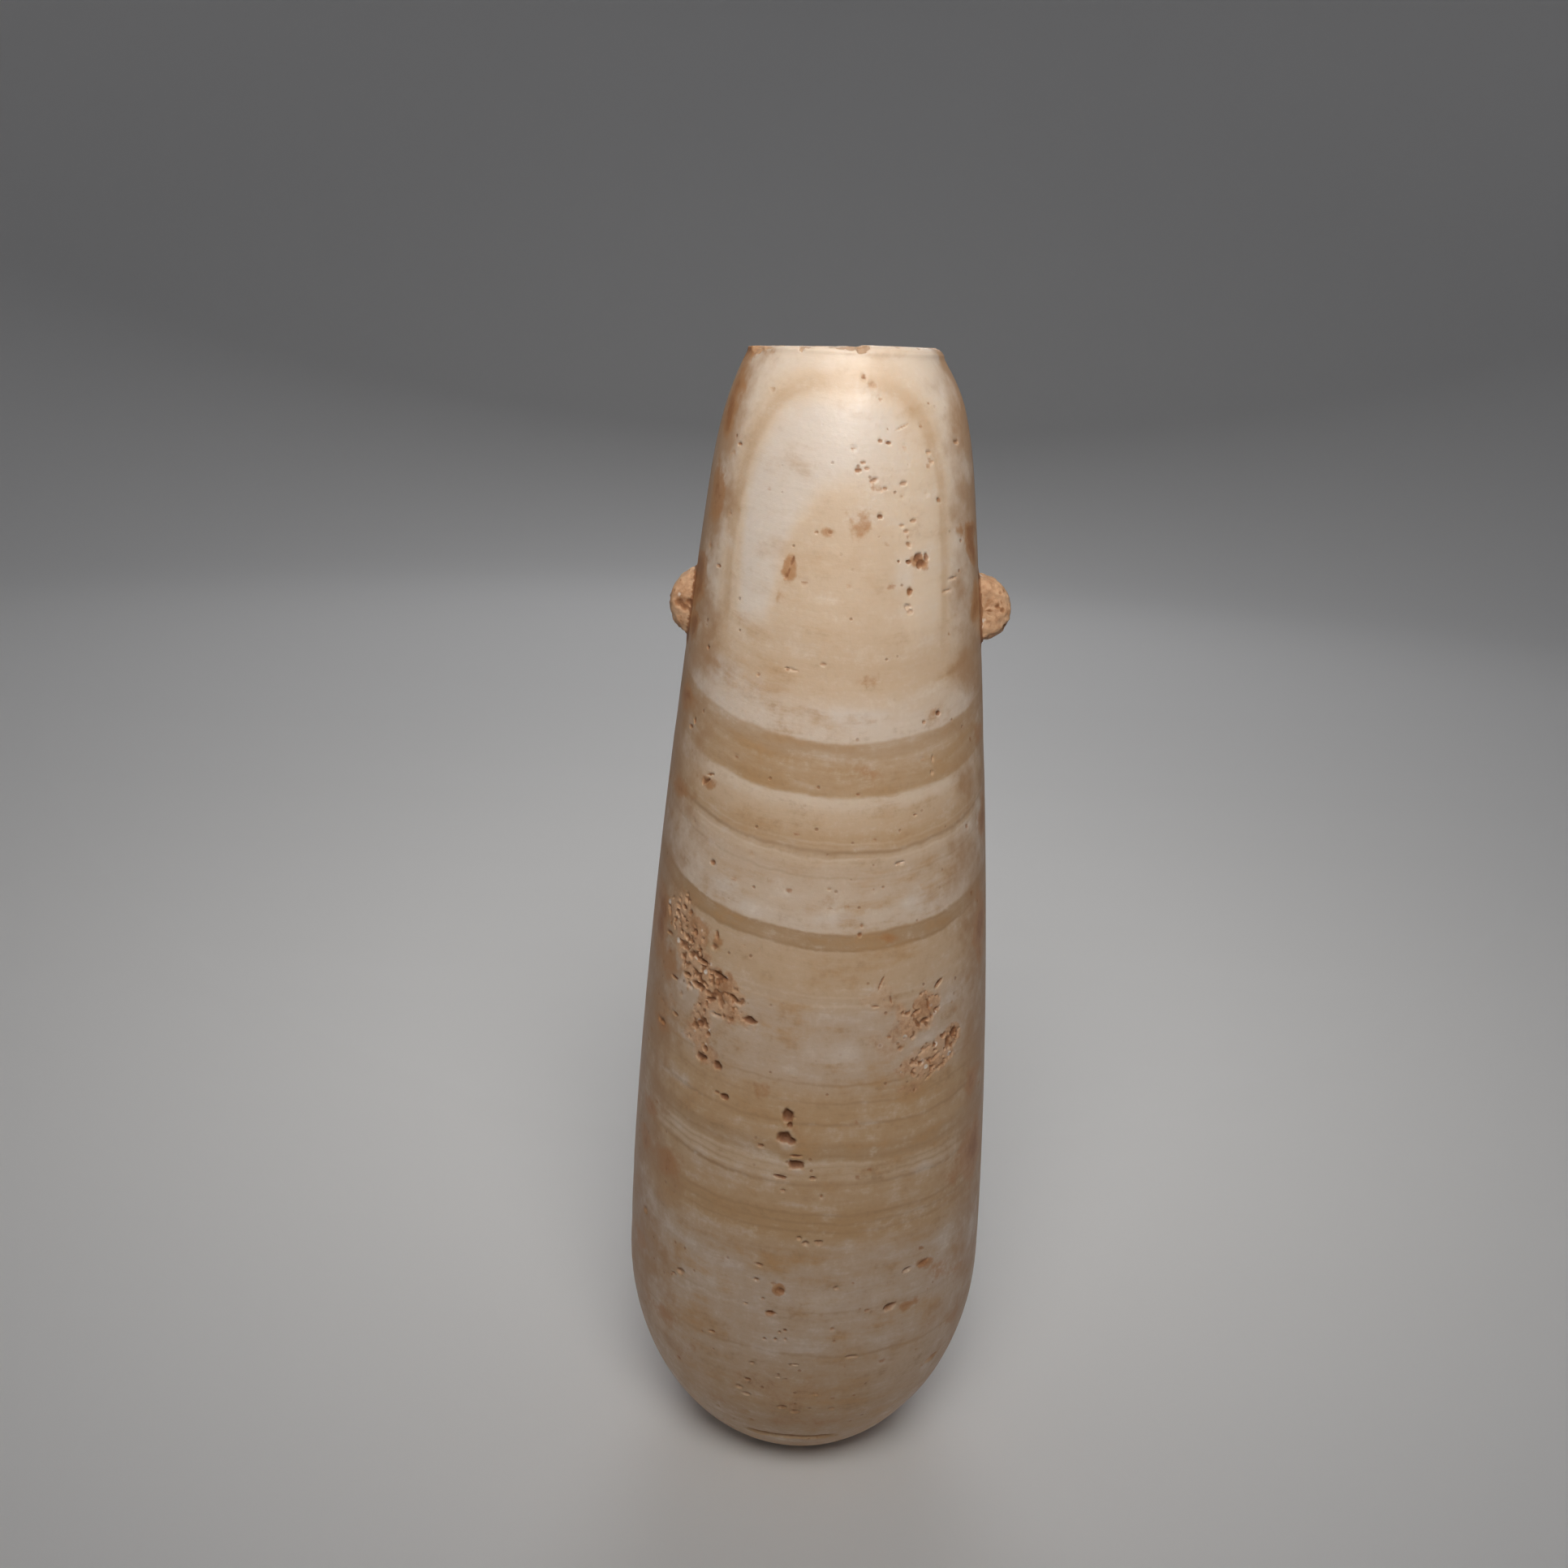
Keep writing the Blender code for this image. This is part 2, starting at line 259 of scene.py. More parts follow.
    (26.6, 41.9, 1.25, 0.60, 18.0, 0.90, 0.55),
    (-41.8, 43.9, 0.90, 0.50, 15.0, 0.60, 0.20),
    (-44.6, 42.7, 0.80, 0.32, 10.0, 0.40, 0.05),
    (-63.0, 49.7, 1.00, 0.60, 0.0, 0.50, 0.10),
    # bottom
    (-29.0, 35.1, 0.90, 0.28, 10.0, 0.35, 0.60),
    (15.0, 33.3, 1.20, 0.32, 0.0, 0.50, 0.15),
    (-15.4, 30.9, 0.50, 0.35, 0.0, 0.45, 0.25),
    (-2.0, 31.8, 0.70, 0.32, 0.0, 0.40, 0.10),
    (-7.0, 28.6, 0.60, 0.30, 0.0, 0.40, 0.25),
    (-17.0, 26.8, 0.75, 0.42, 0.0, 0.50, 0.50),
    (-20.2, 24.4, 0.80, 0.55, 0.0, 0.50, 0.10),
    (-17.8, 23.0, 0.90, 0.50, 0.0, 0.55, 0.10),
    (4.8, 24.8, 0.80, 0.45, 0.0, 0.45, 0.10),
    (-6.2, 21.2, 0.80, 0.55, 0.0, 0.55, 0.15),
    (-1.4, 20.2, 0.90, 0.50, 0.0, 0.50, 0.10),
    (11.0, 21.0, 0.70, 0.40, 0.0, 0.35, 0.10),
    (48.5, 26.0, 1.70, 0.80, 10.0, 0.30, 0.00),
]

# Eroded patches: azimuth, height, half length, half width, lean of the length in degrees and strength
EROSION = [
    (-55.0, 107.0, 6.0, 5.0, -10.0, 0.75),
    (-47.0, 102.0, 7.5, 5.0, -30.0, 0.90),
    (-36.5, 97.3, 9.5, 4.3, -26.0, 1.00),
    (-40.0, 90.5, 4.2, 4.0, -60.0, 0.80),
    (-37.0, 85.5, 3.2, 2.2, -10.0, 0.60),
    (-60.0, 90.0, 5.0, 3.5, 0.0, 0.45),
    (34.0, 95.0, 6.0, 4.6, 40.0, 0.80),
    (38.0, 86.5, 7.5, 4.6, 14.0, 0.75),
    (47.5, 88.8, 3.2, 3.0, 20.0, 0.90),
    (24.0, 91.0, 5.0, 4.5, 30.0, 0.45),
    (18.0, 98.5, 3.5, 4.0, -30.0, 0.45),
    (22.0, 178.0, 8.0, 8.0, -40.0, 0.24),
    (-8.0, 26.0, 10.0, 6.0, 0.0, 0.38),
    (133.0, 121.0, 8.0, 4.5, 25.0, 0.70),
    (-150.0, 62.0, 7.0, 5.0, -15.0, 0.70),
    (170.0, 33.0, 9.0, 5.0, 0.0, 0.45),
]

# Iron-brown staining: azimuth, height, half width, half height and strength
STAINS = [
    # left side
    (-70.0, 190.0, 4.5, 6.0, 0.75),
    (-66.0, 177.0, 3.5, 5.5, 0.75),
    (-75.0, 162.0, 5.0, 5.5, 0.95),
    (-72.0, 155.0, 3.5, 3.0, 0.85),
    (-72.0, 198.5, 7.0, 3.0, 0.70),
    (-68.0, 142.5, 4.5, 2.6, 0.80),
    (-64.0, 128.0, 6.0, 2.2, 0.60),
    (-48.0, 131.0, 3.0, 1.8, 0.70),
    (-70.0, 104.0, 6.5, 8.0, 0.80),
    (-58.0, 98.0, 6.0, 5.0, 0.40),
    (-45.0, 105.5, 5.5, 4.0, 0.65),
    (-36.0, 105.0, 2.0, 3.0, 0.60),
    (-40.0, 98.0, 7.0, 4.0, 0.60),
    (-31.0, 96.0, 5.0, 2.5, 0.45),
    (-60.0, 87.0, 4.0, 2.0, 0.60),
    (-38.0, 86.0, 2.5, 3.5, 0.60),
    (-16.0, 82.0, 2.2, 2.5, 0.45),
    (-66.0, 70.0, 5.0, 2.0, 0.60),
    (-66.0, 63.0, 4.0, 3.0, 0.55),
    (-50.0, 62.5, 6.5, 3.5, 0.60),
    (-67.0, 43.0, 4.0, 2.5, 0.60),
    (-26.0, 49.8, 2.2, 1.6, 0.45),
    (-50.0, 33.0, 6.5, 3.2, 0.60),
    (-40.0, 28.0, 4.0, 5.0, 0.40),
    # middle
    (-20.0, 166.5, 1.6, 3.4, 0.60),
    (-23.5, 162.3, 1.2, 2.0, 0.45),
    (-6.0, 172.3, 1.8, 1.2, 0.60),
    (7.0, 173.5, 2.6, 4.2, 0.50),
    (0.0, 176.0, 3.0, 1.5, 0.30),
    (13.0, 150.5, 4.5, 1.8, 0.40),
    (11.0, 136.0, 4.5, 3.8, 0.45),
    (-16.0, 117.5, 3.5, 1.6, 0.35),
    (5.0, 115.0, 5.5, 2.4, 0.35),
    (21.0, 108.8, 2.4, 1.4, 0.70),
    (-8.0, 46.3, 1.3, 1.4, 0.85),
    (-10.3, 41.6, 1.5, 1.0, 0.60),
    (-8.0, 76.0, 2.6, 5.0, 0.35),
    # right side
    (31.5, 168.2, 2.0, 2.0, 0.75),
    (26.8, 163.6, 1.2, 1.6, 0.70),
    (65.0, 171.8, 4.2, 2.0, 0.95),
    (69.0, 169.0, 3.0, 2.4, 0.95),
    (57.0, 172.5, 3.0, 1.4, 0.60),
    (71.0, 160.0, 3.5, 5.0, 0.70),
    (52.0, 157.0, 3.5, 3.0, 0.25),
    (38.0, 144.5, 2.0, 1.4, 0.40),
    (68.0, 140.0, 4.0, 3.0, 0.55),
    (71.0, 124.0, 4.0, 5.0, 0.75),
    (68.0, 105.0, 4.5, 8.0, 0.75),
    (35.0, 95.0, 2.8, 2.8, 0.60),
    (26.5, 89.7, 1.5, 1.2, 0.55),
    (47.5, 88.8, 2.6, 2.0, 0.85),
    (40.0, 85.5, 4.5, 2.6, 0.50),
    (62.0, 78.5, 4.0, 3.0, 0.65),
    (64.0, 64.0, 7.0, 8.0, 0.75),
    (50.0, 62.0, 4.0, 4.0, 0.45),
    (39.0, 48.3, 2.6, 1.2, 0.75),
    (46.0, 45.5, 3.5, 3.0, 0.55),
    (34.0, 41.3, 3.4, 1.1, 0.75),
    (55.0, 43.5, 4.5, 1.2, 0.50),
    (55.0, 33.0, 6.0, 3.5, 0.30),
    (5.0, 17.0, 12.0, 3.5, 0.35),
    (-30.0, 18.0, 9.0, 3.5, 0.35),
    # back
    (150.0, 96.0, 10.0, 16.0, 0.50),
    (-140.0, 150.0, 7.0, 14.0, 0.55),
    (-172.0, 60.0, 12.0, 10.0, 0.45),
    (112.0, 50.0, 8.0, 12.0, 0.50),
    (178.0, 178.0, 5.0, 7.0, 0.45),
    (132.0, 120.0, 8.0, 5.0, 0.60),
    (-150.0, 62.0, 8.0, 5.0, 0.60),
]

# Cloudy white places: azimuth, height, half width, half height and strength
CLOUDS = [
    (-36.0, 114.8, 4.5, 2.4, 0.70),
    (-25.0, 112.8, 3.5, 1.8, 0.60),
    (33.0, 114.5, 5.0, 3.4, 0.70),
    (4.0, 111.9, 5.0, 1.4, 0.60),
    (-48.0, 149.0, 6.0, 3.6, 0.60),
    (5.0, 144.0, 9.0, 2.4, 0.65),
    (-30.0, 147.0, 6.0, 3.0, 0.45),
    (5.0, 89.0, 7.0, 3.5, 0.55),
    (-10.0, 94.5, 6.0, 3.0, 0.35),
    (-30.0, 46.0, 8.0, 5.0, 0.55),
    (5.0, 44.5, 8.0, 3.0, 0.55),
    (24.0, 45.0, 4.5, 2.5, 0.45),
    (-47.0, 88.5, 3.0, 3.0, 0.60),
    (-56.0, 107.5, 3.0, 2.0, 0.60),
    (-8.0, 73.0, 1.9, 2.0, 0.70),
    (-4.5, 68.5, 1.7, 1.5, 0.70),
    (24.0, 166.0, 4.0, 4.5, 0.45),
    (-20.0, 197.0, 9.0, 1.8, 0.40),
    (-157.0, 130.0, 9.0, 5.0, 0.55),
    (165.0, 150.0, 7.0, 9.0, 0.50),
    (125.0, 84.0, 8.0, 4.0, 0.50),
]


class VesselForm(bpy.types.PropertyGroup):
    """Sizes of the turned and bored stone"""

    height: FloatProperty(
        name="Height", description="From the foot to the lip", default=HIGH.z - LOW.z, unit="LENGTH"
    )
    belly_radius: FloatProperty(
        name="Belly radius", description="Widest radius", default=(HIGH.x - LOW.x) / 2, unit="LENGTH"
    )
    belly_height: FloatProperty(
        name="Belly height", description="Height of the widest place", default=0.038, unit="LENGTH"
    )
    foot_radius: FloatProperty(
        name="Foot radius", description="Radius of the worn flat below", default=0.012, unit="LENGTH"
    )
    shoulder_height: FloatProperty(
        name="Shoulder height", description="Where the wall turns inwards", default=0.175, unit="LENGTH"
    )
    taper: FloatProperty(
        name="Taper", description="Radius lost from belly to shoulder", default=0.0104, unit="LENGTH"
    )
    shoulder_drop: FloatProperty(
        name="Shoulder drop", description="Further radius lost up to the lip", default=0.0035, unit="LENGTH"
    )
    lip_edge: FloatProperty(
        name="Lip edge", description="Rounding of the lip's outer edge", default=0.0017, unit="LENGTH"
    )
    bore_radius: FloatProperty(
        name="Bore radius", description="Radius of the hole in the mouth", default=0.0095, unit="LENGTH"
    )
    wall: FloatProperty(
        name="Wall", description="Thickness of the wall at the belly", default=0.007, unit="LENGTH"
    )
    floor_thickness: FloatProperty(
        name="Floor", description="Thickness of the stone under the cavity", default=0.014, unit="LENGTH"
    )


class VesselWear(bpy.types.PropertyGroup):
    """How far time has worked on the stone"""

    fullness: FloatProperty(
        name="Fullness", description="Swell of the wall between belly and lugs", default=0.0003, unit="LENGTH"
    )
    unevenness: FloatProperty(
        name="Unevenness", description="Depth of the hollows left by hand grinding", default=0.0002, unit="LENGTH"
    )
    erosion: FloatProperty(
        name="Erosion", description="Depth of the eroded patches", default=0.00045, unit="LENGTH"
    )
    lug_roughness: FloatProperty(
        name="Lug roughness", description="Relief of the unpolished lugs", default=0.0004, unit="LENGTH"
    )
    scattered_pits: IntProperty(
        name="Scattered pits", description="Number of small pits besides the placed ones", default=260, min=0
    )
    seed: IntProperty(name="Seed", description="Where the small pits fall", default=11, min=0)


class StoneColours(bpy.types.PropertyGroup):
    """Tones of the banded calcite and of what clings to it"""

    milk: FloatVectorProperty(
        name="Milk", description="Cloudy white stone", default=(0.70, 0.61, 0.54), subtype="COLOR"
    )
    ivory: FloatVectorProperty(
        name="Ivory", description="Palest clear layers", default=(0.73, 0.585, 0.45), subtype="COLOR"
    )
    cream: FloatVectorProperty(
        name="Cream", description="Common pale layers", default=(0.65, 0.48, 0.335), subtype="COLOR"
    )
    lilac: FloatVectorProperty(
        name="Lilac grey", description="Greyish pale layers", default=(0.54, 0.43, 0.355), subtype="COLOR"
    )
    beige: FloatVectorProperty(
        name="Beige", description="Middle layers", default=(0.55, 0.39, 0.26), subtype="COLOR"
    )
    gold: FloatVectorProperty(
        name="Gold", description="Warm yellow-brown layers", default=(0.52, 0.315, 0.15), subtype="COLOR"
    )
    honey: FloatVectorProperty(
        name="Honey", description="Clear brown layers", default=(0.41, 0.26, 0.14), subtype="COLOR"
    )
    umber: FloatVectorProperty(
        name="Umber", description="Darkest layers and lines", default=(0.21, 0.115, 0.05), subtype="COLOR"
    )
    rust: FloatVectorProperty(
        name="Rust", description="Iron stains", default=(0.36, 0.13, 0.038), subtype="COLOR"
    )
    dirt: FloatVectorProperty(
        name="Dirt", description="Earth in the pits", default=(0.20, 0.078, 0.032), subtype="COLOR"
    )
    raw: FloatVectorProperty(
        name="Raw stone", description="Unpolished stone", default=(0.60, 0.365, 0.215), subtype="COLOR"
    )
    dust: FloatVectorProperty(
        name="Dust", description="Dull coat inside the cavity", default=(0.42, 0.31, 0.22), subtype="COLOR"
    )


class Studio(bpy.types.PropertyGroup):
    """Floor, lights and camera"""

    floor: FloatVectorProperty(
        name="Floor", description="Colour of the floor and backdrop", default=(0.80, 0.80, 0.81), subtype="COLOR"
    )
    key: FloatProperty(name="Key light", description="Power of the light above the front", default=0.44, unit="POWER")
    side: FloatProperty(name="Side lights", description="Power of each side light", default=0.22, unit="POWER")
    back: FloatProperty(name="Back light", description="Power of the light behind", default=2.1, unit="POWER")
    sky: FloatProperty(name="Sky", description="Strength of the even light from all round", default=0.11)
    lens: FloatProperty(name="Lens", description="Focal length in mm", default=35.40)


def smooth_step(low, high, value):
    """0 up to low, 1 from high on, and an even rise between."""
    t = np.clip((value - low) / (high - low), 0.0, 1.0)
    return t * t * (3.0 - 2.0 * t)


class Form:
    """The smooth shape that the wear is worked into. Lengths in mm."""

    neck_top = 186.0
    neck_bottom = 140.0
    cavity_belly = 45.0
    bore_edge = 0.5

    def __init__(self, sizes):
        self.height = sizes.height / MM
        self.belly_radius = sizes.belly_radius / MM
        self.belly_height = sizes.belly_height / MM
        self.foot_radius = sizes.foot_radius / MM
        self.shoulder_height = sizes.shoulder_height / MM
        self.taper = sizes.taper / MM
        self.shoulder_drop = sizes.shoulder_drop / MM
        self.lip_edge = sizes.lip_edge / MM
        self.bore_radius = sizes.bore_radius / MM
        self.wall = sizes.wall / MM
        self.floor_thickness = sizes.floor_thickness / MM

    @property
    def bottom_depth(self):
        """Depth of the ellipse that rounds the bottom, which the foot cuts off flat."""
        return self.belly_height / math.sqrt(1.0 - (self.foot_radius / self.belly_radius) ** 2)

    def radius(self, z):
        """Outer radius at a height, from the foot to the lip."""
        z = np.asarray(z, float)
        along = np.maximum(z - self.belly_height, 0.0) / (self.shoulder_height - self.belly_height)
        over = np.maximum(z - self.shoulder_height, 0.0) / (self.height - self.shoulder_height)
        above = self.belly_radius - self.taper * along**1.6 - self.shoulder_drop * over**3
        down = np.clip((self.belly_height - z) / self.bottom_depth, 0.0, 1.0)
        return np.where(z < self.belly_height, self.belly_radius * np.sqrt(1.0 - down**2), above)

    def cavity_radius(self, z):
        """Inner radius from the cavity's belly up."""
        drawn_in = smooth_step(self.neck_bottom, self.neck_top, z)
        return (self.radius(z) - self.wall) * (1.0 - drawn_in) + self.bore_radius * drawn_in

    def profile(self, step):
        """Points (radius, height) about a step apart, from the cavity's floor over the lip to the foot."""
        points = []
        belly = float(self.cavity_radius(self.cavity_belly))
        rise = self.cavity_belly - self.floor_thickness
        for angle in np.linspace(0.0, math.pi / 2, 14):
            points.append((belly * math.sin(angle), self.floor_thickness + rise * (1.0 - math.cos(angle))))
        inner_top = self.height - self.bore_edge
        rows = round((inner_top - self.cavity_belly) / (2.2 * step))
        for z in np.linspace(self.cavity_belly, inner_top, rows)[1:]:
            points.append((float(self.cavity_radius(z)), z))
        outer_top = self.height - self.lip_edge
        outer_radius = float(self.radius(outer_top))
        lip = np.linspace(self.bore_radius + self.bore_edge, outer_radius - self.lip_edge, 6)
        points += [(r, self.height) for r in lip]
        for angle in np.linspace(math.pi / 2, 0.0, 5)[1:]:
            inwards = self.lip_edge * (1.0 - math.cos(angle))
            points.append((outer_radius - inwards, self.height - self.lip_edge * (1.0 - math.sin(angle))))
        rows = round((outer_top - self.belly_height) / step)
        for z in np.linspace(outer_top, self.belly_height, rows)[1:]:
            points.append((float(self.radius(z)), z))
        foot_angle = math.asin(self.foot_radius / self.belly_radius)
        rows = round(0.75 * (self.belly_radius + self.belly_height) / step)
        for angle in np.linspace(math.pi / 2, foot_angle, rows)[1:]:
            z = self.belly_height - self.bottom_depth * math.cos(angle)
            points.append((self.belly_radius * math.sin(angle), z))
        points += [(r, 0.0) for r in np.linspace(self.foot_radius, 0.0, 8)[1:]]
        return points


def object_from(name, mesh):
    made = bpy.data.objects.new(name, mesh)
    bpy.context.scene.collection.objects.link(made)
    return made


def turned_blank(form, step, turns):
    """The smooth vessel, turned from its profile."""
    points = form.profile(step)
    mesh = bpy.data.meshes.new("blank")
    edges = [(i, i + 1) for i in range(len(points) - 1)]
    mesh.from_pydata([(r * MM, 0.0, z * MM) for r, z in points], edges, [])
    blank = object_from("blank", mesh)
    screw = blank.modifiers.new("turning", "SCREW")
    screw.axis = "Z"
    screw.steps = turns
    screw.render_steps = turns
    screw.use_merge_vertices = True
    screw.merge_threshold = 0.00001
    return blank


def lug_blank(form, side):
    """A rounded slab on edge: a ball squared off in thickness, flattened to the lug's disc."""
    height, radius, sink, outwards = LUGS[side]
    shape = bmesh.new()
    bmesh.ops.create_uvsphere(shape, u_segments=76, v_segments=38, radius=1.0)
    for vertex in shape.verts:
        along = vertex.co.z
        across = math.hypot(vertex.co.x, vertex.co.y)
        turn = math.atan2(vertex.co.y, vertex.co.x)
        reach = radius * across**LUG_SQUARENESS
        thick = LUG_HALF_THICKNESS * math.copysign(abs(along) ** LUG_SQUARENESS, along)
        middle = outwards * (float(form.radius(height)) - sink)
        vertex.co = Vector((middle + reach * math.cos(turn), thick, height + reach * math.sin(turn))) * MM
    bmesh.ops.recalc_face_normals(shape, faces=shape.faces)
    mesh = bpy.data.meshes.new(f"{side}_lug")
    shape.to_mesh(mesh)
    shape.free()
    return object_from(f"{side}_lug", mesh)


def carved_blank(form, step, turns):
    """The vessel and its lugs as one closed mesh."""
    blank = turned_blank(form, step, turns)
    lugs = [lug_blank(form, side) for side in LUGS]
    for lug in lugs:
        union = blank.modifiers.new(lug.name, "BOOLEAN")
        union.operation = "UNION"
        union.solver = "EXACT"
        union.object = lug
    evaluated = blank.evaluated_get(bpy.context.evaluated_depsgraph_get())
    shape = bmesh.new()
    shape.from_mesh(evaluated.to_mesh())
    for helper in [blank, *lugs]:
        bpy.data.objects.remove(helper, do_unlink=True)
    bmesh.ops.remove_doubles(shape, verts=shape.verts, dist=0.00004)
    return shape


class Surface:
    """Where each vertex of a mesh lies on the vessel. Lengths in mm, azimuths in degrees."""

    def __init__(self, shape, form):
        shape.normal_update()
        self.points = np.array([v.co for v in shape.verts]) / MM
        self.normals = np.array([v.normal for v in shape.verts])
        self.x, self.y, self.z = self.points.T.copy()
        self.form = form
        self.reach = np.hypot(self.x, self.y)
        self.azimuth = np.degrees(np.arctan2(self.x, -self.y))
        self.wall_radius = form.radius(np.clip(self.z, 0.0, form.height))
        middle = self.wall_radius - 0.5 * form.wall
        shallow = self.z < form.floor_thickness * 0.6
        self.outside = shallow | (self.reach > middle) | (self.z > form.height - 0.3)
        self.on_lug = (self.reach > self.wall_radius + 0.35) & (self.z > 140.0)

    def grain(self, size, octaves=3, shift=0.0):
        """Fractal noise about -1 to 1, with grains of the given size."""
        return np.array([noise.fractal(p, 1.0, 2.0, octaves) for p in (self.points / size + shift).tolist()])

    def crystals(self, size, where):
        """Distance from the middle of the nearest grain, in grains, where it is wanted."""
        far = np.zeros(len(self.z))
        for i in np.flatnonzero(where):
            far[i] = noise.voronoi((self.points[i] / size).tolist())[0][0]
        return far

    def local(self, azimuth, height, lean=0.0):
        """Distances along the wall from a place on it, along a leaning line and across it."""
        turn = (self.azimuth - azimuth + 180.0) % 360.0 - 180.0
        side, up = np.radians(turn) * self.wall_radius, self.z - height
        c, s = math.cos(math.radians(lean)), math.sin(math.radians(lean))
        return side * c + up * s, up * c - side * s

    def spread(self, azimuth, height, half_width, half_height, lean=0.0):
        """1 on the rim of an ellipse on the wall, 0 at its middle and more outside."""
        along, across = self.local(azimuth, height, lean)
        return np.hypot(along / half_width, across / half_height)

    def gap(self, azimuth, height, half_width, half_height, lean=0.0):
        """Distance from the rim of a long rounded mark on the wall."""
        along, across = self.local(azimuth, height, lean)
        if half_height > half_width:
            along, across = across, along
            half_width, half_height = half_height, half_width
        beyond = np.maximum(np.abs(along) - (half_width - half_height), 0.0)
        return np.hypot(beyond, across) - half_height


def scattered_pits(wear, form):
    """Small pits all over, thicker low down and at the upper right."""
    draw = random.Random(wear.seed)
    pits = []
    while len(pits) < wear.scattered_pits:
        azimuth = draw.uniform(-180.0, 180.0)
        height = draw.uniform(6.0, form.height - 4.0)
        crowd = 0.18
        if height < 45.0:
            crowd = 0.5
        if 2.0 < azimuth < 45.0 and height > 163.0:
            crowd = 1.0
        keep, size, shape, depth, dirt, lean = (draw.random() for _ in range(6))
        if keep < crowd:
            half = 0.24 + 0.30 * size**2
            wide = half * (1.0 + 0.8 * shape)
            pits.append((azimuth, height, wide, half, 40.0 * (lean - 0.5), 0.06 + 0.16 * depth, 0.15 + 0.4 * dirt))
    return pits


# A small shelf that flaked off just above the foot: azimuth, height, half length and half width
SHELF = (-3.0, 11.4, 7.5, 0.6)


def refine(shape, form, pits, reach, least_erosion, lip_depth):
    """Halves the edges of the outer faces that lie in the eroded patches, round the pits or at the lip."""
    surface = Surface(shape, form)
    near = np.where(surface.reach > form.bore_radius + 2.5, form.height - surface.z - lip_depth + reach, reach)
    for azimuth, height, half_width, half_height, lean, _, _ in pits:
        near = np.minimum(near, surface.gap(azimuth, height, half_width, half_height, lean))
    for azimuth, height, half_length, half_width, lean, strength in EROSION:
        if strength >= least_erosion:
            near = np.minimum(near, surface.gap(azimuth, height, half_length, half_width, lean))
    near = np.minimum(near, surface.gap(*SHELF))
    wanted = surface.outside & ~surface.on_lug & (near < reach)
    edges = set()
    for face in shape.faces:
        if len(face.verts) <= 4 and any(wanted[v.index] for v in face.verts):
            edges.update(face.edges)
    bmesh.ops.subdivide_edges(shape, edges=list(edges), cuts=1, use_grid_fill=True)


def soften_roots(shape, form, rounds):
    """Eases the sharp line where the lugs rise from the wall."""
    surface = Surface(shape, form)
    at_root = np.zeros(len(surface.z), bool)
    for height, radius, _, outwards in LUGS.values():
        close = np.abs(surface.z - height) < radius + 1.5
        close &= (np.abs(surface.y) < LUG_HALF_THICKNESS + 1.5) & (surface.x * outwards > 0.0)
        at_root |= close & (np.abs(surface.reach - surface.wall_radius) < 0.6)
    vertices = [v for v, root in zip(shape.verts, at_root) if root]
    for _ in range(rounds):
        bmesh.ops.smooth_vert(shape, verts=vertices, factor=0.5, use_axis_x=True, use_axis_y=True, use_axis_z=True)


def work_wall(surface, wear, pits):
    """Depth of the wear on the wall, and the masks that colour it."""
    waver = surface.grain(3.2, 3)
    sharp = surface.grain(1.1, 3, shift=17.0)
    depth = wear.unevenness / MM * (surface.grain(24.0, 2, shift=5.0) + 0.4 * surface.grain(7.0, 2, shift=9.0))
    depth -= wear.fullness / MM * np.exp(-(((surface.z - 95.0) / 38.0) ** 2))

    eaten = np.zeros(len(depth))
    for azimuth, height, half_length, half_width, lean, strength in EROSION:
        rho = surface.spread(azimuth, height, half_length, half_width, lean) + 0.5 * waver
        eaten = np.maximum(eaten, strength * (1.0 - smooth_step(0.45, 1.2, rho)))
    grains = surface.crystals(1.3, eaten > 0.1)
    holes = smooth_step(0.05, 0.40, sharp + 0.35 * waver + 0.5 * (eaten - 0.75))
    granular = 0.25 + 0.75 * holes + 0.55 * (grains - 0.35) + 0.35 * sharp
    depth += wear.erosion / MM * smooth_step(0.1, 0.7, eaten) * granular
    dirt = smooth_step(0.3, 0.8, eaten) * holes * (0.45 + 0.45 * waver + 0.35 * sharp)
    raw = eaten.copy()

    for azimuth, height, half_width, half_height, lean, deep, soil in pits:
        rho = surface.spread(azimuth, height, half_width, half_height, lean) * (1.0 + 0.35 * sharp)
        depth = np.maximum(depth, deep * (1.0 - smooth_step(0.45, 1.15, rho)))
        dirt = np.maximum(dirt, soil * (1.0 - smooth_step(0.5, 1.25, rho)))
        raw = np.maximum(raw, 0.5 * (1.0 - smooth_step(0.8, 1.4, rho)))

    along, across = surface.local(*SHELF[:2])
    window = 1.0 - smooth_step(SHELF[2] - 1.5, SHELF[2] + 1.5, np.abs(along) + 1.5 * waver)
    across = across + 0.25 * waver
    groove = 1.0 - smooth_step(0.1, SHELF[3], np.abs(across))
    ledge = smooth_step(-0.1, -SHELF[3], across) * (1.0 - smooth_step(1.2, 3.5, -across))
    depth += window * (0.40 * groove - 0.22 * ledge) * (surface.z > 2.0)
    # The groove is darkened too, through the dirt mask: painted shade along it.
    dirt = np.maximum(dirt, 0.55 * window * groove)
    return depth, {
        "dirt": dirt,
        "stain": marked(surface, STAINS, waver),
        "cloudy": marked(surface, CLOUDS, waver),
        "raw": raw,
    }


def marked(surface, marks, waver):
    """Soft patches of colour, each with a ragged rim."""
    mask = np.zeros(len(surface.z))
    for azimuth, height, half_width, half_height, strength in marks:
        rho = surface.spread(azimuth, height, half_width, half_height) + 0.4 * waver
        mask = np.maximum(mask, strength * (1.0 - smooth_step(0.1, 1.25, rho)))
    return mask


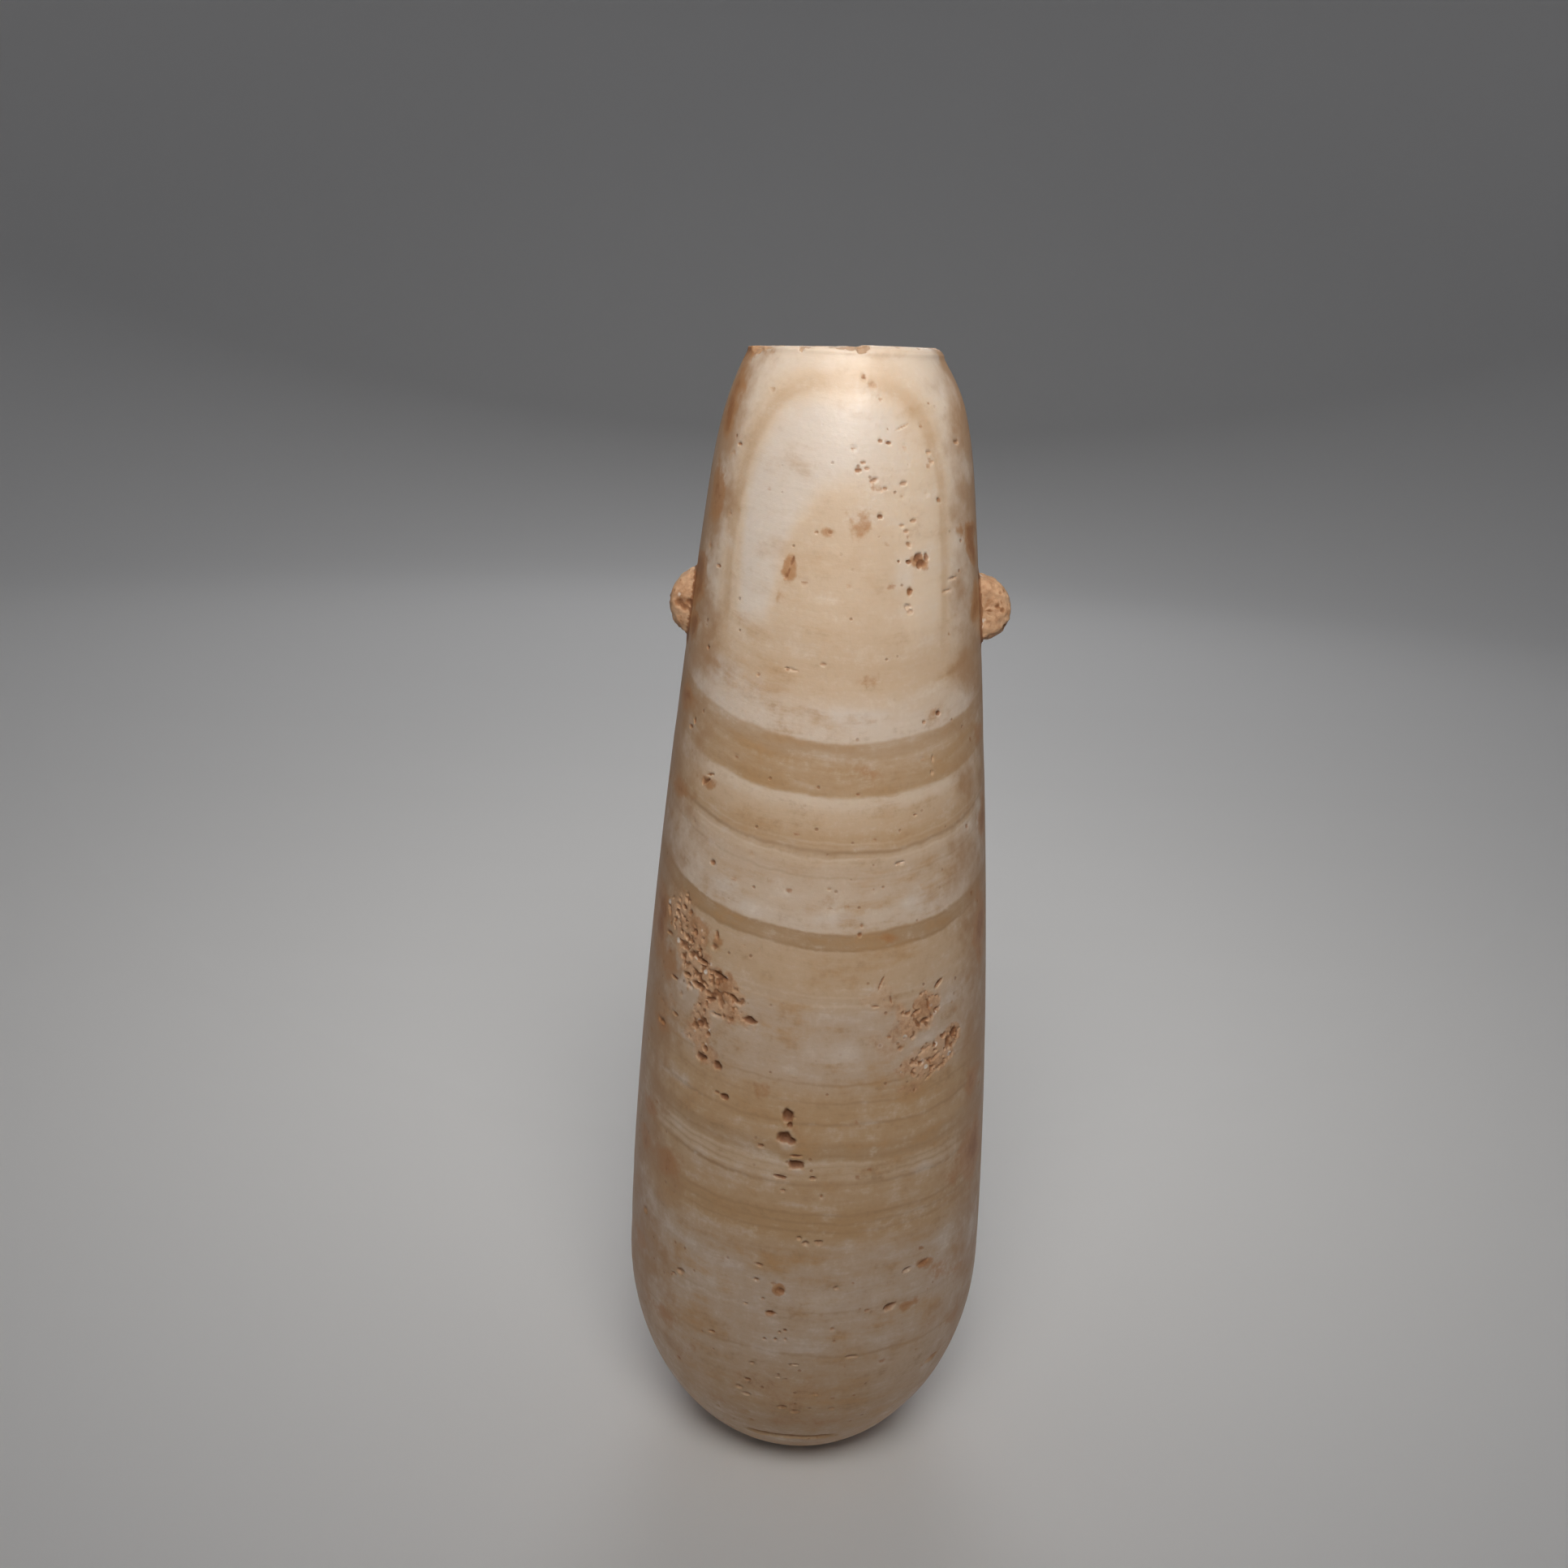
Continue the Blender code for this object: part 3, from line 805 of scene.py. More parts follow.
def work_lugs(surface, wear, rough):
    """Relief of the unpolished lugs, with their dents. Returns how far in each place is and how dirty."""
    fine = surface.grain(1.1, 3, shift=40.0)
    depth = wear.lug_roughness / MM * (0.55 + 0.9 * rough + 0.35 * fine)
    dirt = smooth_step(0.25, 0.85, rough + 0.5 * fine) * 0.5
    for side, out, up, front, radius, deep in LUG_DENTS:
        height, _, _, outwards = LUGS[side]
        wall = float(surface.form.radius(height))
        middle = np.array([outwards * (wall + out), -front, height + up])
        rho = np.linalg.norm(surface.points - middle, axis=1) / radius * (1.0 + 0.3 * fine)
        hole = 1.0 - smooth_step(0.4, 1.1, rho)
        depth = np.maximum(depth, deep * hole)
        dirt = np.maximum(dirt, 0.85 * hole)
    lugs = surface.on_lug
    return np.where(lugs, depth, 0.0), np.where(lugs, dirt, 0.0)


def lug_roots(surface):
    """Whether a place lies just round a lug's root."""
    near = np.zeros(len(surface.z), bool)
    for height, radius, sink, outwards in LUGS.values():
        half_chord = math.sqrt(max(radius**2 - sink**2, 0.0))
        across = np.maximum(np.abs(surface.y) - LUG_HALF_THICKNESS, 0.0)
        up = np.maximum(np.abs(surface.z - height) - half_chord, 0.0)
        near |= (np.hypot(across, up) < 0.5) & (surface.x * outwards > 0.0) & surface.outside
    return near & ~surface.on_lug


def break_mouth(surface, rough):
    """Rounds the lip's worn right edge, lowers the lip left of the step and knocks the chips out of its edge.

    Returns how broken each place is.
    """
    points = surface.points
    form = surface.form
    worn = smooth_step(30.0, 70.0, surface.azimuth) * (1.0 - smooth_step(120.0, 160.0, surface.azimuth))
    worn *= smooth_step(191.0, form.height, surface.z) * (surface.reach > 12.0) * 0.9
    points[:, :2] *= (1.0 - worn / np.maximum(surface.reach, 1.0))[:, None]

    along = (points[:, 0] - BREAK_STEP) * math.cos(BREAK_SKEW) + points[:, 1] * math.sin(BREAK_SKEW)
    plane = form.height - BREAK_DEPTH + np.tan(BREAK_SLOPE) * along + 0.12 * rough
    cut = (along < 0.0) & (points[:, 2] > plane)
    points[cut, 2] = plane[cut]
    broken = cut * 0.35
    edge_radius = float(form.radius(form.height))
    for azimuth, half_width, face_height, inwards in CHIPS:
        turn = math.radians(azimuth)
        outwards = np.array([math.sin(turn), -math.cos(turn), 0.0])
        sideways = np.array([math.cos(turn), math.sin(turn), 0.0])
        length = math.hypot(face_height, inwards)
        facing = (outwards * face_height + np.array([0.0, 0.0, inwards])) / length
        local = points - outwards * edge_radius - np.array([0.0, 0.0, form.height])
        across = np.abs(local @ sideways) / half_width * (1.0 + 0.2 * rough)
        deep = face_height * inwards / length * (1.0 - smooth_step(0.25, 1.1, across)) * (1.0 + 0.25 * rough)
        beyond = np.where(surface.outside & (deep > 0.0), local @ facing + deep, 0.0)
        flaked = beyond > 0.0
        points[flaked] -= facing * beyond[flaked][:, None]
        broken = np.maximum(broken, smooth_step(0.02, 0.12, beyond))
    return broken


def wear_down(shape, form, wear, pits):
    """Works every kind of wear into the mesh, and returns the masks for its material."""
    surface = Surface(shape, form)
    wall_depth, masks = work_wall(surface, wear, pits)
    rough = surface.grain(2.0, 4, shift=31.0)
    lug_depth, lug_dirt = work_lugs(surface, wear, rough)
    on_wall = surface.outside & ~surface.on_lug
    on_top = surface.z > form.height - 0.05
    on_foot = surface.z < 0.05
    depth = np.where(on_wall, wall_depth, 0.0) + lug_depth
    depth = np.where(on_top, 0.05 + 0.07 * rough, depth)
    depth = np.where(on_foot, np.maximum(0.04 + 0.05 * rough, 0.0), depth)
    rings = 0.10 * np.sin(surface.z * 3.1 + 1.4 * rough) + 0.12 * rough
    depth = np.where(surface.outside, depth, rings)
    surface.points -= surface.normals * depth[:, None]
    broken = break_mouth(surface, rough)
    for vertex, point in zip(shape.verts, surface.points):
        vertex.co = Vector(point) * MM
    for name in masks:
        masks[name] = np.where(on_wall, masks[name], 0.0)
    # The line round each lug's root darkens the crease where lug meets wall: painted shade, carried in the dirt mask.
    masks["dirt"] = np.maximum.reduce([masks["dirt"], lug_dirt, 0.8 * lug_roots(surface)])
    masks["raw"] = np.maximum.reduce([masks["raw"], surface.on_lug * 1.0, on_top * 0.6])
    masks["broken"] = broken
    masks["inside"] = ~surface.outside * 1.0
    return masks


class ALABASTRON_OT_carve(bpy.types.Operator):
    """Turn, bore and carve the vessel, and work the wear of its age into it"""

    bl_idname = "alabastron.carve"
    bl_label = "Carve the vessel"
    bl_options = {"REGISTER", "UNDO"}

    def execute(self, context):
        form = Form(context.scene.alabastron_form)
        wear = context.scene.alabastron_wear
        pits = PITS + scattered_pits(wear, form)
        shape = carved_blank(form, step=1.7, turns=120)
        soften_roots(shape, form, rounds=3)
        refine(shape, form, pits, reach=0.9, least_erosion=0.4, lip_depth=2.2)
        refine(shape, form, pits, reach=0.35, least_erosion=0.4, lip_depth=1.8)
        refine(shape, form, PITS, reach=0.10, least_erosion=0.65, lip_depth=0.0)
        masks = wear_down(shape, form, wear, pits)
        mesh = bpy.data.meshes.new("alabastron_stone")
        shape.to_mesh(mesh)
        shape.free()
        for name, values in masks.items():
            layer = mesh.attributes.new(name, "FLOAT", "POINT")
            layer.data.foreach_set("value", np.clip(values, 0.0, 1.0).astype(np.float32))
        mesh.shade_smooth()
        mesh.set_sharp_from_angle(angle=math.radians(48))
        stone = object_from("alabastron_stone", mesh)
        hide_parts(NODE)
        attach(stone, "root")
        return {"FINISHED"}


class Wire:
    """A shader socket that sums, scales and raises as a number would. Vectors go through Vector Math."""

    def __init__(self, tree, socket=None):
        self.tree = tree
        self.socket = socket

    def node(self, kind, settings=None, inputs=None, output=0):
        """Adds a node, makes its settings first and fills its sockets after, and wraps one of its outputs."""
        made = self.tree.nodes.new(kind)
        for name, value in (settings or {}).items():
            if name == "stops":
                self.set_stops(made.color_ramp, value)
            else:
                setattr(made, name, value)
        for name, value in (inputs or {}).items():
            if isinstance(value, Wire):
                self.tree.links.new(value.socket, made.inputs[name])
            else:
                made.inputs[name].default_value = value
        return Wire(self.tree, made.outputs[output])

    @staticmethod
    def set_stops(ramp, stops):
        while len(ramp.elements) < len(stops):
            ramp.elements.new(1.0)
        for element, (place, colour) in zip(ramp.elements, stops):
            element.position = place
            element.color = (*colour, 1.0)

    def output(self, name):
        """Another output of the same node."""
        return Wire(self.tree, self.socket.node.outputs[name])

    def operate(self, operation, *values):
        if any(isinstance(v, Wire) and v.socket.type == "VECTOR" for v in values):
            vectors = [(v,) * 3 if isinstance(v, (int, float)) else v for v in values]
            return self.node("ShaderNodeVectorMath", {"operation": operation}, dict(enumerate(vectors)))
        return self.node("ShaderNodeMath", {"operation": operation}, dict(enumerate(values)))

    def __add__(self, other):
        return self.operate("ADD", self, other)

    def __radd__(self, other):
        return self.operate("ADD", other, self)

    def __sub__(self, other):
        return self.operate("SUBTRACT", self, other)

    def __rsub__(self, other):
        return self.operate("SUBTRACT", other, self)

    def __mul__(self, other):
        return self.operate("MULTIPLY", self, other)

    def __rmul__(self, other):
        return self.operate("MULTIPLY", other, self)

    def __truediv__(self, other):
        return self.operate("DIVIDE", self, other)

    def __pow__(self, other):
        return self.operate("POWER", self, other)

    def __abs__(self):
        return self.operate("ABSOLUTE", self)


def rise(value, low, high, top=1.0):
    """0 up to low, the top value from high on, and smooth between. It falls where low is above high."""
    inputs = {"Value": value, "From Min": low, "From Max": high, "To Max": top}
    return value.node("ShaderNodeMapRange", {"interpolation_type": "SMOOTHSTEP"}, inputs)


def cloud(vector, size, detail=3.0, roughness=0.55):
    """Noise about 0 with grains of the given size."""
    inputs = {"Vector": vector, "Scale": 1.0 / size, "Detail": detail, "Roughness": roughness}
    return vector.node("ShaderNodeTexNoise", None, inputs) - 0.5


def blend(below, above, factor):
    """Lays one colour over another."""
    wire = next(w for w in (factor, below, above) if isinstance(w, Wire))
    inputs = {0: factor}
    for place, colour in ((6, below), (7, above)):
        inputs[place] = colour if isinstance(colour, Wire) else (*colour, 1.0)
    return wire.node("ShaderNodeMix", {"data_type": "RGBA", "clamp_factor": True}, inputs, output=2)


def toned(tones, first, second, share):
    """A tone between two named ones."""
    a, b = getattr(tones, first), getattr(tones, second)
    return tuple(a[i] * (1.0 - share) + b[i] * share for i in range(3))


# Ground tone below the arches, read up the front: height in mm, first tone, second tone and the second's share
GROUND = [
    # The honey tones at the foot are partly the stone's own, partly painted shade that darkens the bottom.
    (0.0, "honey", "beige", 0.40),
    (14.0, "honey", "beige", 0.50),
    (22.0, "beige", "honey", 0.25),
    (30.0, "beige", "lilac", 0.40),
    (36.0, "lilac", "beige", 0.25),
    (46.0, "lilac", "milk", 0.15),
    (53.0, "lilac", "beige", 0.40),
    (57.0, "gold", "beige", 0.45),
    (63.0, "beige", "gold", 0.30),
    (70.0, "beige", "cream", 0.20),
    (77.0, "gold", "beige", 0.40),
    (81.0, "beige", "gold", 0.35),
    (85.0, "lilac", "cream", 0.35),
    (95.0, "lilac", "cream", 0.30),
    (100.0, "cream", "beige", 0.60),
    (106.0, "cream", "beige", 0.60),
    (111.0, "cream", "milk", 0.45),
    (119.0, "cream", "lilac", 0.40),
    (124.0, "beige", "gold", 0.25),
    (128.0, "cream", "beige", 0.30),
    (142.0, "cream", "milk", 0.60),
    (149.0, "cream", "beige", 0.30),
    (154.0, "beige", "cream", 0.35),
]
LAYER_SPAN = 160.0

# Clear bands in it: lower and upper edge on the front, softness of each edge in mm, tones as above, strength
BANDS = [
    (13.0, 19.0, 3.0, 4.0, "honey", "umber", 0.10, 0.45),
    (56.8, 61.4, 1.2, 0.9, "gold", "honey", 0.45, 0.80),
    (70.4, 73.4, 0.4, 0.9, "honey", "umber", 0.10, 0.70),
    (67.0, 70.0, 0.4, 0.3, "ivory", "cream", 0.50, 0.55),
    (106.9, 109.9, 0.3, 0.3, "honey", "umber", 0.12, 0.90),
    (110.1, 112.6, 0.2, 1.5, "milk", "ivory", 0.30, 0.45),
    (120.4, 121.9, 0.4, 0.4, "ivory", "cream", 0.30, 0.45),
    (123.2, 125.8, 0.5, 0.8, "gold", "honey", 0.40, 0.30),
    (129.4, 131.6, 1.0, 0.3, "ivory", "milk", 0.20, 0.70),
    (131.6, 140.4, 0.5, 0.4, "honey", "gold", 0.35, 0.85),
    (137.6, 140.4, 0.8, 0.4, "honey", "lilac", 0.25, 0.50),
]

# Thin lines along the layers: height on the front, half width in mm and strength, below 0 for a pale line
LINES = [
    (33.8, 0.40, 0.55),
    (42.6, 0.30, 0.25),
    (57.6, 0.30, 0.35),
    (59.2, 0.35, 0.45),
    (60.8, 0.35, 0.55),
    (66.3, 0.42, 0.75),
    (67.3, 0.32, -0.50),
    (68.0, 0.22, 0.35),
    (68.6, 0.30, -0.45),
    (69.3, 0.22, 0.30),
    (69.9, 0.25, -0.40),
    (71.2, 0.30, 0.35),
    (76.9, 0.42, 0.60),
    (80.7, 0.30, 0.35),
    (83.9, 0.32, 0.45),
    (97.7, 0.35, -0.45),
    (99.2, 0.30, -0.35),
    (107.2, 0.35, 0.45),
    (109.6, 0.30, 0.35),
    (118.7, 0.30, 0.22),
    (121.6, 0.30, -0.50),
    (122.8, 0.45, 0.55),
    (124.2, 0.28, -0.25),
]
DIP = 0.33
DIP_PIVOT = 29.0
TILT = 0.025

# Arches at the top, read outwards: distance, first tone, second tone and the second's share
ARCHES = [
    (0.00, "cream", "ivory", 0.35),
    (0.66, "cream", "ivory", 0.60),
    (0.90, "cream", "ivory", 0.80),
    (0.955, "cream", "ivory", 0.55),
    (0.985, "beige", "cream", 0.55),
    (1.015, "beige", "cream", 0.70),
    (1.04, "cream", "ivory", 0.45),
    (1.10, "ivory", "milk", 0.30),
    (1.20, "ivory", "milk", 0.40),
]
ARCH_SPAN = 1.6
ARCH_MIDDLE = -0.6
ARCH_FOOT = 150.0
ARCH_HALF_WIDTH = 17.3
ARCH_RISE = 44.8
ARCH_FLATNESS = 3.0

# The inner arch, an ellipse: height of its foot, half width and rise in mm
INNER_ARCH = (155.0, 10.7, 24.0)


def layer_of(z, form):
    """The layer coordinate of a place on the front of the wall."""
    dip = DIP * float(smooth_step(20.0, 140.0, z))
    return z - dip * (DIP_PIVOT - float(form.radius(z)))


def arch_crown(x, y, z, tones, slow, waver):
    """Colour of the stone above the bands, where the layers close into arches with a milky crescent between."""
    side = abs((x - ARCH_MIDDLE) / ARCH_HALF_WIDTH) ** ARCH_FLATNESS
    up = rise_from(z, ARCH_FOOT, ARCH_RISE) ** ARCH_FLATNESS
    arch = (side + up) ** (1.0 / ARCH_FLATNESS) + slow * 0.05 + waver * 0.05
    stops = [(at / ARCH_SPAN, toned(tones, *tone)) for at, *tone in ARCHES]
    crown = arch.node("ShaderNodeValToRGB", {"stops": stops}, {0: arch / ARCH_SPAN})

    foot, half_width, height = INNER_ARCH
    inner = ((x / half_width) ** 2.0 + rise_from(z, foot, height) ** 2.0) ** 0.5 + waver * 0.12
    crown = blend(crown, toned(tones, "beige", "cream", 0.55), rise(inner + waver * 0.15, 1.10, 0.86, 0.50))
    fading = x - (z - 178.0) * 0.6 + waver * 6.0
    veil = rise(inner, 0.95, 1.15) * rise(arch, 0.98, 0.88) * rise(fading, 10.0, -4.0)
    veil = veil * rise(x + waver * 2.0, -16.4, -14.6) * rise(z + waver * 4.0, 155.5, 161.0) * rise(y, 2.0, -4.0)
    return blend(crown, tuple(tones.milk), veil * 0.8)


def layered_stone(place, axes, form, tones, cloudy):
    """Colour of the sound stone by its growth layers, with its furrows, fine strata, streaks and slow drift."""
    x, y, z = axes
    slow = cloud(place, 30.0, 2.0)
    waver = cloud(place, 8.0, 3.0)
    wobble = cloud(place, 2.2, 2.0)
    layer = z - rise(z, 20.0, 140.0, DIP) * (y + DIP_PIVOT) + x * TILT + slow * 1.8 + waver * 1.1 + wobble * 0.5
    strata_at = place.node("ShaderNodeCombineXYZ", None, {0: x * 0.05, 1: y * 0.05, 2: layer})
    strata = cloud(strata_at, 1.7, 4.0, 0.7)
    streak_at = place.node("ShaderNodeCombineXYZ", None, {0: x * 0.22, 1: y * 0.22, 2: layer})
    streak = cloud(streak_at, 3.4, 5.0, 0.62)

    stops = [(layer_of(at, form) / LAYER_SPAN, toned(tones, *tone)) for at, *tone in GROUND]
    colour = layer.node("ShaderNodeValToRGB", {"stops": stops}, {0: (layer + streak * 5.0) / LAYER_SPAN})
    ragged = layer + streak * 1.3
    uneven = streak * 1.5 + waver * 0.6 + 0.9
    for low, high, soft_low, soft_high, first, second, share, strength in BANDS:
        low, high = layer_of(low, form), layer_of(high, form)
        band = rise(ragged, low - soft_low, low + soft_low, strength) * uneven
        band = band * rise(ragged, high + soft_high, high - soft_high)
        colour = blend(colour, toned(tones, first, second, share), band)
    crown = arch_crown(x, y, z, tones, slow, waver)
    colour = blend(colour, crown, rise(z + waver * 8.0, 150.0, 161.0))

    fade = cloud(place, 13.0, 2.0) * 2.4 + 0.8
    below_arches = rise(z, 150.0, 144.0) * fade
    marks = {True: None, False: None}
    for height, half_width, strength in LINES:
        line = rise(abs(layer - layer_of(height, form)), 1.3 * half_width, 0.0, abs(strength))
        dark = strength > 0.0
        marks[dark] = line if marks[dark] is None else marks[dark] + line
    furrows = marks[True] * below_arches
    colour = blend(colour, toned(tones, "umber", "gold", 0.25), furrows)
    colour = blend(colour, tuple(tones.ivory), marks[False] * below_arches)
    colour = blend(colour, tuple(tones.milk), rise(cloudy + waver * 0.5 + streak * 0.3, 0.1, 0.75, 0.8))
    return colour, furrows, strata, streak, waver


def rise_from(value, start, length):
    """How far a value is past its start, in lengths, and 0 before it."""
    return value.operate("MAXIMUM", (value - start) / length, 0.0)


def stone_material(form, tones):
    """Banded calcite with its stains, dirt, raw breaks and worn polish, and painted shade towards the foot, the sides,
    the lugs' roots and the groove above the foot.
    """
    material = bpy.data.materials.new("banded_calcite")
    material.use_nodes = True
    tree = material.node_tree
    shader = tree.nodes["Principled BSDF"]
    start = Wire(tree)
    place = start.node("ShaderNodeTexCoord", output="Object") * (1.0 / MM)
    split = place.node("ShaderNodeSeparateXYZ", None, {0: place})
    x, y, z = (split.output(name) for name in "XYZ")
    dirt, stain, cloudy, raw, broken, inside = (
        start.node("ShaderNodeAttribute", {"attribute_name": name}, output="Fac")
        for name in ("dirt", "stain", "cloudy", "raw", "broken", "inside")
    )

    colour, furrows, strata, streak, waver = layered_stone(place, (x, y, z), form, tones, cloudy)
    patch = cloud(place, 16.0, 4.0, 0.6)
    mottle = cloud(place, 4.5, 6.0, 0.62)
    fine = cloud(place, 0.9, 4.0, 0.6)

    worn_more = rise(z, 172.0, 140.0, 0.55) + rise(z, 115.0, 70.0, 0.5) + 0.5
    # A warm gold-brown film that thickens towards the bottom: partly the stone's patina, partly painted shade that
    # darkens the lower body as the light falls off downwards.
    lower_shade_and_film = (streak * 1.8 + mottle * 1.8 + patch * 1.2 + 1.0) * (rise(z, 152.0, 50.0, 0.42) + 0.05)
    colour = blend(colour, toned(tones, "gold", "honey", 0.5), lower_shade_and_film)
    warm = streak * 1.2 + patch * 0.8 + mottle * 0.6
    colour = blend(colour, toned(tones, "gold", "rust", 0.12), rise(warm, 0.0, 0.45, 0.75) * worn_more)
    colour = blend(colour, toned(tones, "lilac", "milk", 0.5), rise(warm, -0.04, -0.45, 0.45))
    shade = strata * 0.8 + streak * 0.7 + mottle * 1.0 + fine * 0.8
    colour = blend(colour, toned(tones, "honey", "umber", 0.3), rise(shade, 0.0, 0.7, 0.65) * worn_more)
    colour = blend(colour, (0.84, 0.74, 0.64), rise(shade, 0.0, -0.7, 0.45))

    # Browner and darker towards the sides at -X and +X, as seen from the front: partly patina, partly painted shade
    # where the wall turns away from the front light.
    beside = abs(x) / ((x * x + y * y) ** 0.5 + 0.01)
    side_shade_and_patina = rise(beside + waver * 0.30 + patch * 0.40 + mottle * 0.30, 0.68, 0.98)
    colour = blend(colour, toned(tones, "honey", "rust", 0.30), side_shade_and_patina * 0.85)
    patchy = (stain + side_shade_and_patina * 0.12) * 1.3 + mottle * 0.9 + fine * 0.5
    colour = blend(colour, toned(tones, "gold", "rust", 0.55), rise(patchy, 0.28, 0.75, 0.85))
    colour = blend(colour, toned(tones, "rust", "umber", 0.3), rise(patchy, 0.75, 1.20, 0.85))

    rough_tone = blend(tuple(tones.raw), toned(tones, "umber", "rust", 0.6), rise(mottle + fine * 0.8, -0.1, 0.3, 0.7))
    colour = blend(colour, rough_tone, rise(raw + mottle * 0.6 + fine * 0.3, 0.20, 0.80, 0.85))
    colour = blend(colour, toned(tones, "umber", "raw", 0.55), rise(broken + mottle * 0.5, 0.2, 0.9, 0.75))

    cells = place.node("ShaderNodeTexVoronoi", None, {"Vector": place, "Scale": 1.0 / 1.9})
    pick = cells.node("ShaderNodeSeparateColor", None, {0: cells.output("Color")})
    crowd = raw * 1.2 + cloud(place, 17.0, 3.0) * 1.1
    speck = rise(cells + fine * 0.16, 0.21, 0.08) * rise(pick + crowd, 0.86, 0.98) * rise(inside, 0.5, 0.0)
    colour = blend(colour, toned(tones, "umber", "rust", 0.6), speck * 0.6)
    glint = rise(cells, 0.34, 0.18) * rise(pick.output(1) + 0.0, 0.74, 0.80) * rise(raw - broken, 0.35, 0.7)
    glint = glint * rise(dirt, 0.5, 0.2)
    colour = blend(colour, (0.88, 0.80, 0.72), glint * 0.8)

    # The dirt mask holds earth in the pits, holes and lug dents, and painted shade in the crease round the lugs' roots
    # and in the groove above the foot.
    soil = rise(dirt + fine * 0.45 + mottle * 0.3, 0.45, 0.95)
    halo = rise(dirt + fine * 0.3 + mottle * 0.3, 0.12, 0.55)
    colour = blend(colour, toned(tones, "rust", "umber", 0.35), halo * 0.7)
    colour = blend(colour, tuple(tones.dirt), soil * 0.85)
    colour = blend(colour, tuple(tones.dust), inside * (mottle * 0.6 + 0.7))

    polish = mottle * 0.35 + side_shade_and_patina * 0.06 + raw * 0.28 + dirt * 0.2 + inside * 0.35 + broken * 0.2 - glint * 0.4 + 0.40
    tree.links.new(colour.socket, shader.inputs["Base Color"])
    tree.links.new(polish.operate("MINIMUM", polish, 0.95).socket, shader.inputs["Roughness"])

    relief = fine * (raw * 1.6 + 0.45) + mottle * 0.7 + strata * 0.35 - speck * 0.9 - furrows * 0.15
    bump = relief.node("ShaderNodeBump", None, {"Strength": 0.7, "Distance": 0.00014, "Height": relief})
    tree.links.new(bump.socket, shader.inputs["Normal"])
    shader.inputs["Subsurface Weight"].default_value = 0.15
    shader.inputs["Subsurface Radius"].default_value = (1.0, 0.6, 0.35)
    shader.inputs["Subsurface Scale"].default_value = 0.0025
    shader.inputs["IOR"].default_value = 1.5
    return material


class ALABASTRON_OT_finish(bpy.types.Operator):
    """Give the carved vessel the look of banded, stained and half-polished calcite"""

    bl_idname = "alabastron.finish"
    bl_label = "Finish the stone"
    bl_options = {"REGISTER", "UNDO"}

    def execute(self, context):
        stone = bpy.data.objects.get("alabastron_stone")
        if stone is None:
            raise RuntimeError("carve the vessel before finishing its stone")
        material = stone_material(Form(context.scene.alabastron_form), context.scene.alabastron_stone)
        stone.data.materials.clear()
        stone.data.materials.append(material)
        return {"FINISHED"}


def plain_material(name, colour, roughness):
    material = bpy.data.materials.new(name)
    material.use_nodes = True
    shader = material.node_tree.nodes["Principled BSDF"]
    shader.inputs["Base Color"].default_value = (*colour, 1.0)
    shader.inputs["Roughness"].default_value = roughness
    return material


def area_light(name, place, size, power, colour):
    lamp = bpy.data.lights.new(name, "AREA")
    lamp.shape = "DISK"
    lamp.size = size
    lamp.energy = power
    lamp.color = colour
    made = object_from(name, lamp)
    made.location = place
    made.rotation_euler = (Vector((0.0, 0.0, 0.11)) - Vector(place)).to_track_quat("-Z", "Y").to_euler()
    return made


def studio_bowl(colour):
    """A round floor that curves up into a wall, so that every view has the same plain ground."""
    flat, bend, wall = 1.1, 0.5, 1.0
    points = [(0.0, 0.0), (0.3, 0.0), (0.7, 0.0), (flat, 0.0)]
    for angle in np.linspace(0.0, math.pi / 2, 13)[1:]:
        points.append((flat + bend * math.sin(angle), bend * (1.0 - math.cos(angle))))
    points.append((flat + bend, bend + wall))
    mesh = bpy.data.meshes.new("studio_floor")
    edges = [(i, i + 1) for i in range(len(points) - 1)]
    mesh.from_pydata([(r, 0.0, z) for r, z in points], edges, [])
    floor = object_from("studio_floor", mesh)
    screw = floor.modifiers.new("turning", "SCREW")
    screw.steps = 96
    screw.render_steps = 96
    screw.use_smooth_shade = True
    screw.use_merge_vertices = True
    screw.merge_threshold = 0.00001
    floor.data.materials.append(plain_material("studio_paper", colour, 0.85))
    return floor


CAMERA_PLACE = (-0.0074, -0.2585, 0.2000)
CAMERA_PITCH = math.radians(16.0)
CAMERA_ROLL = math.radians(2.52)


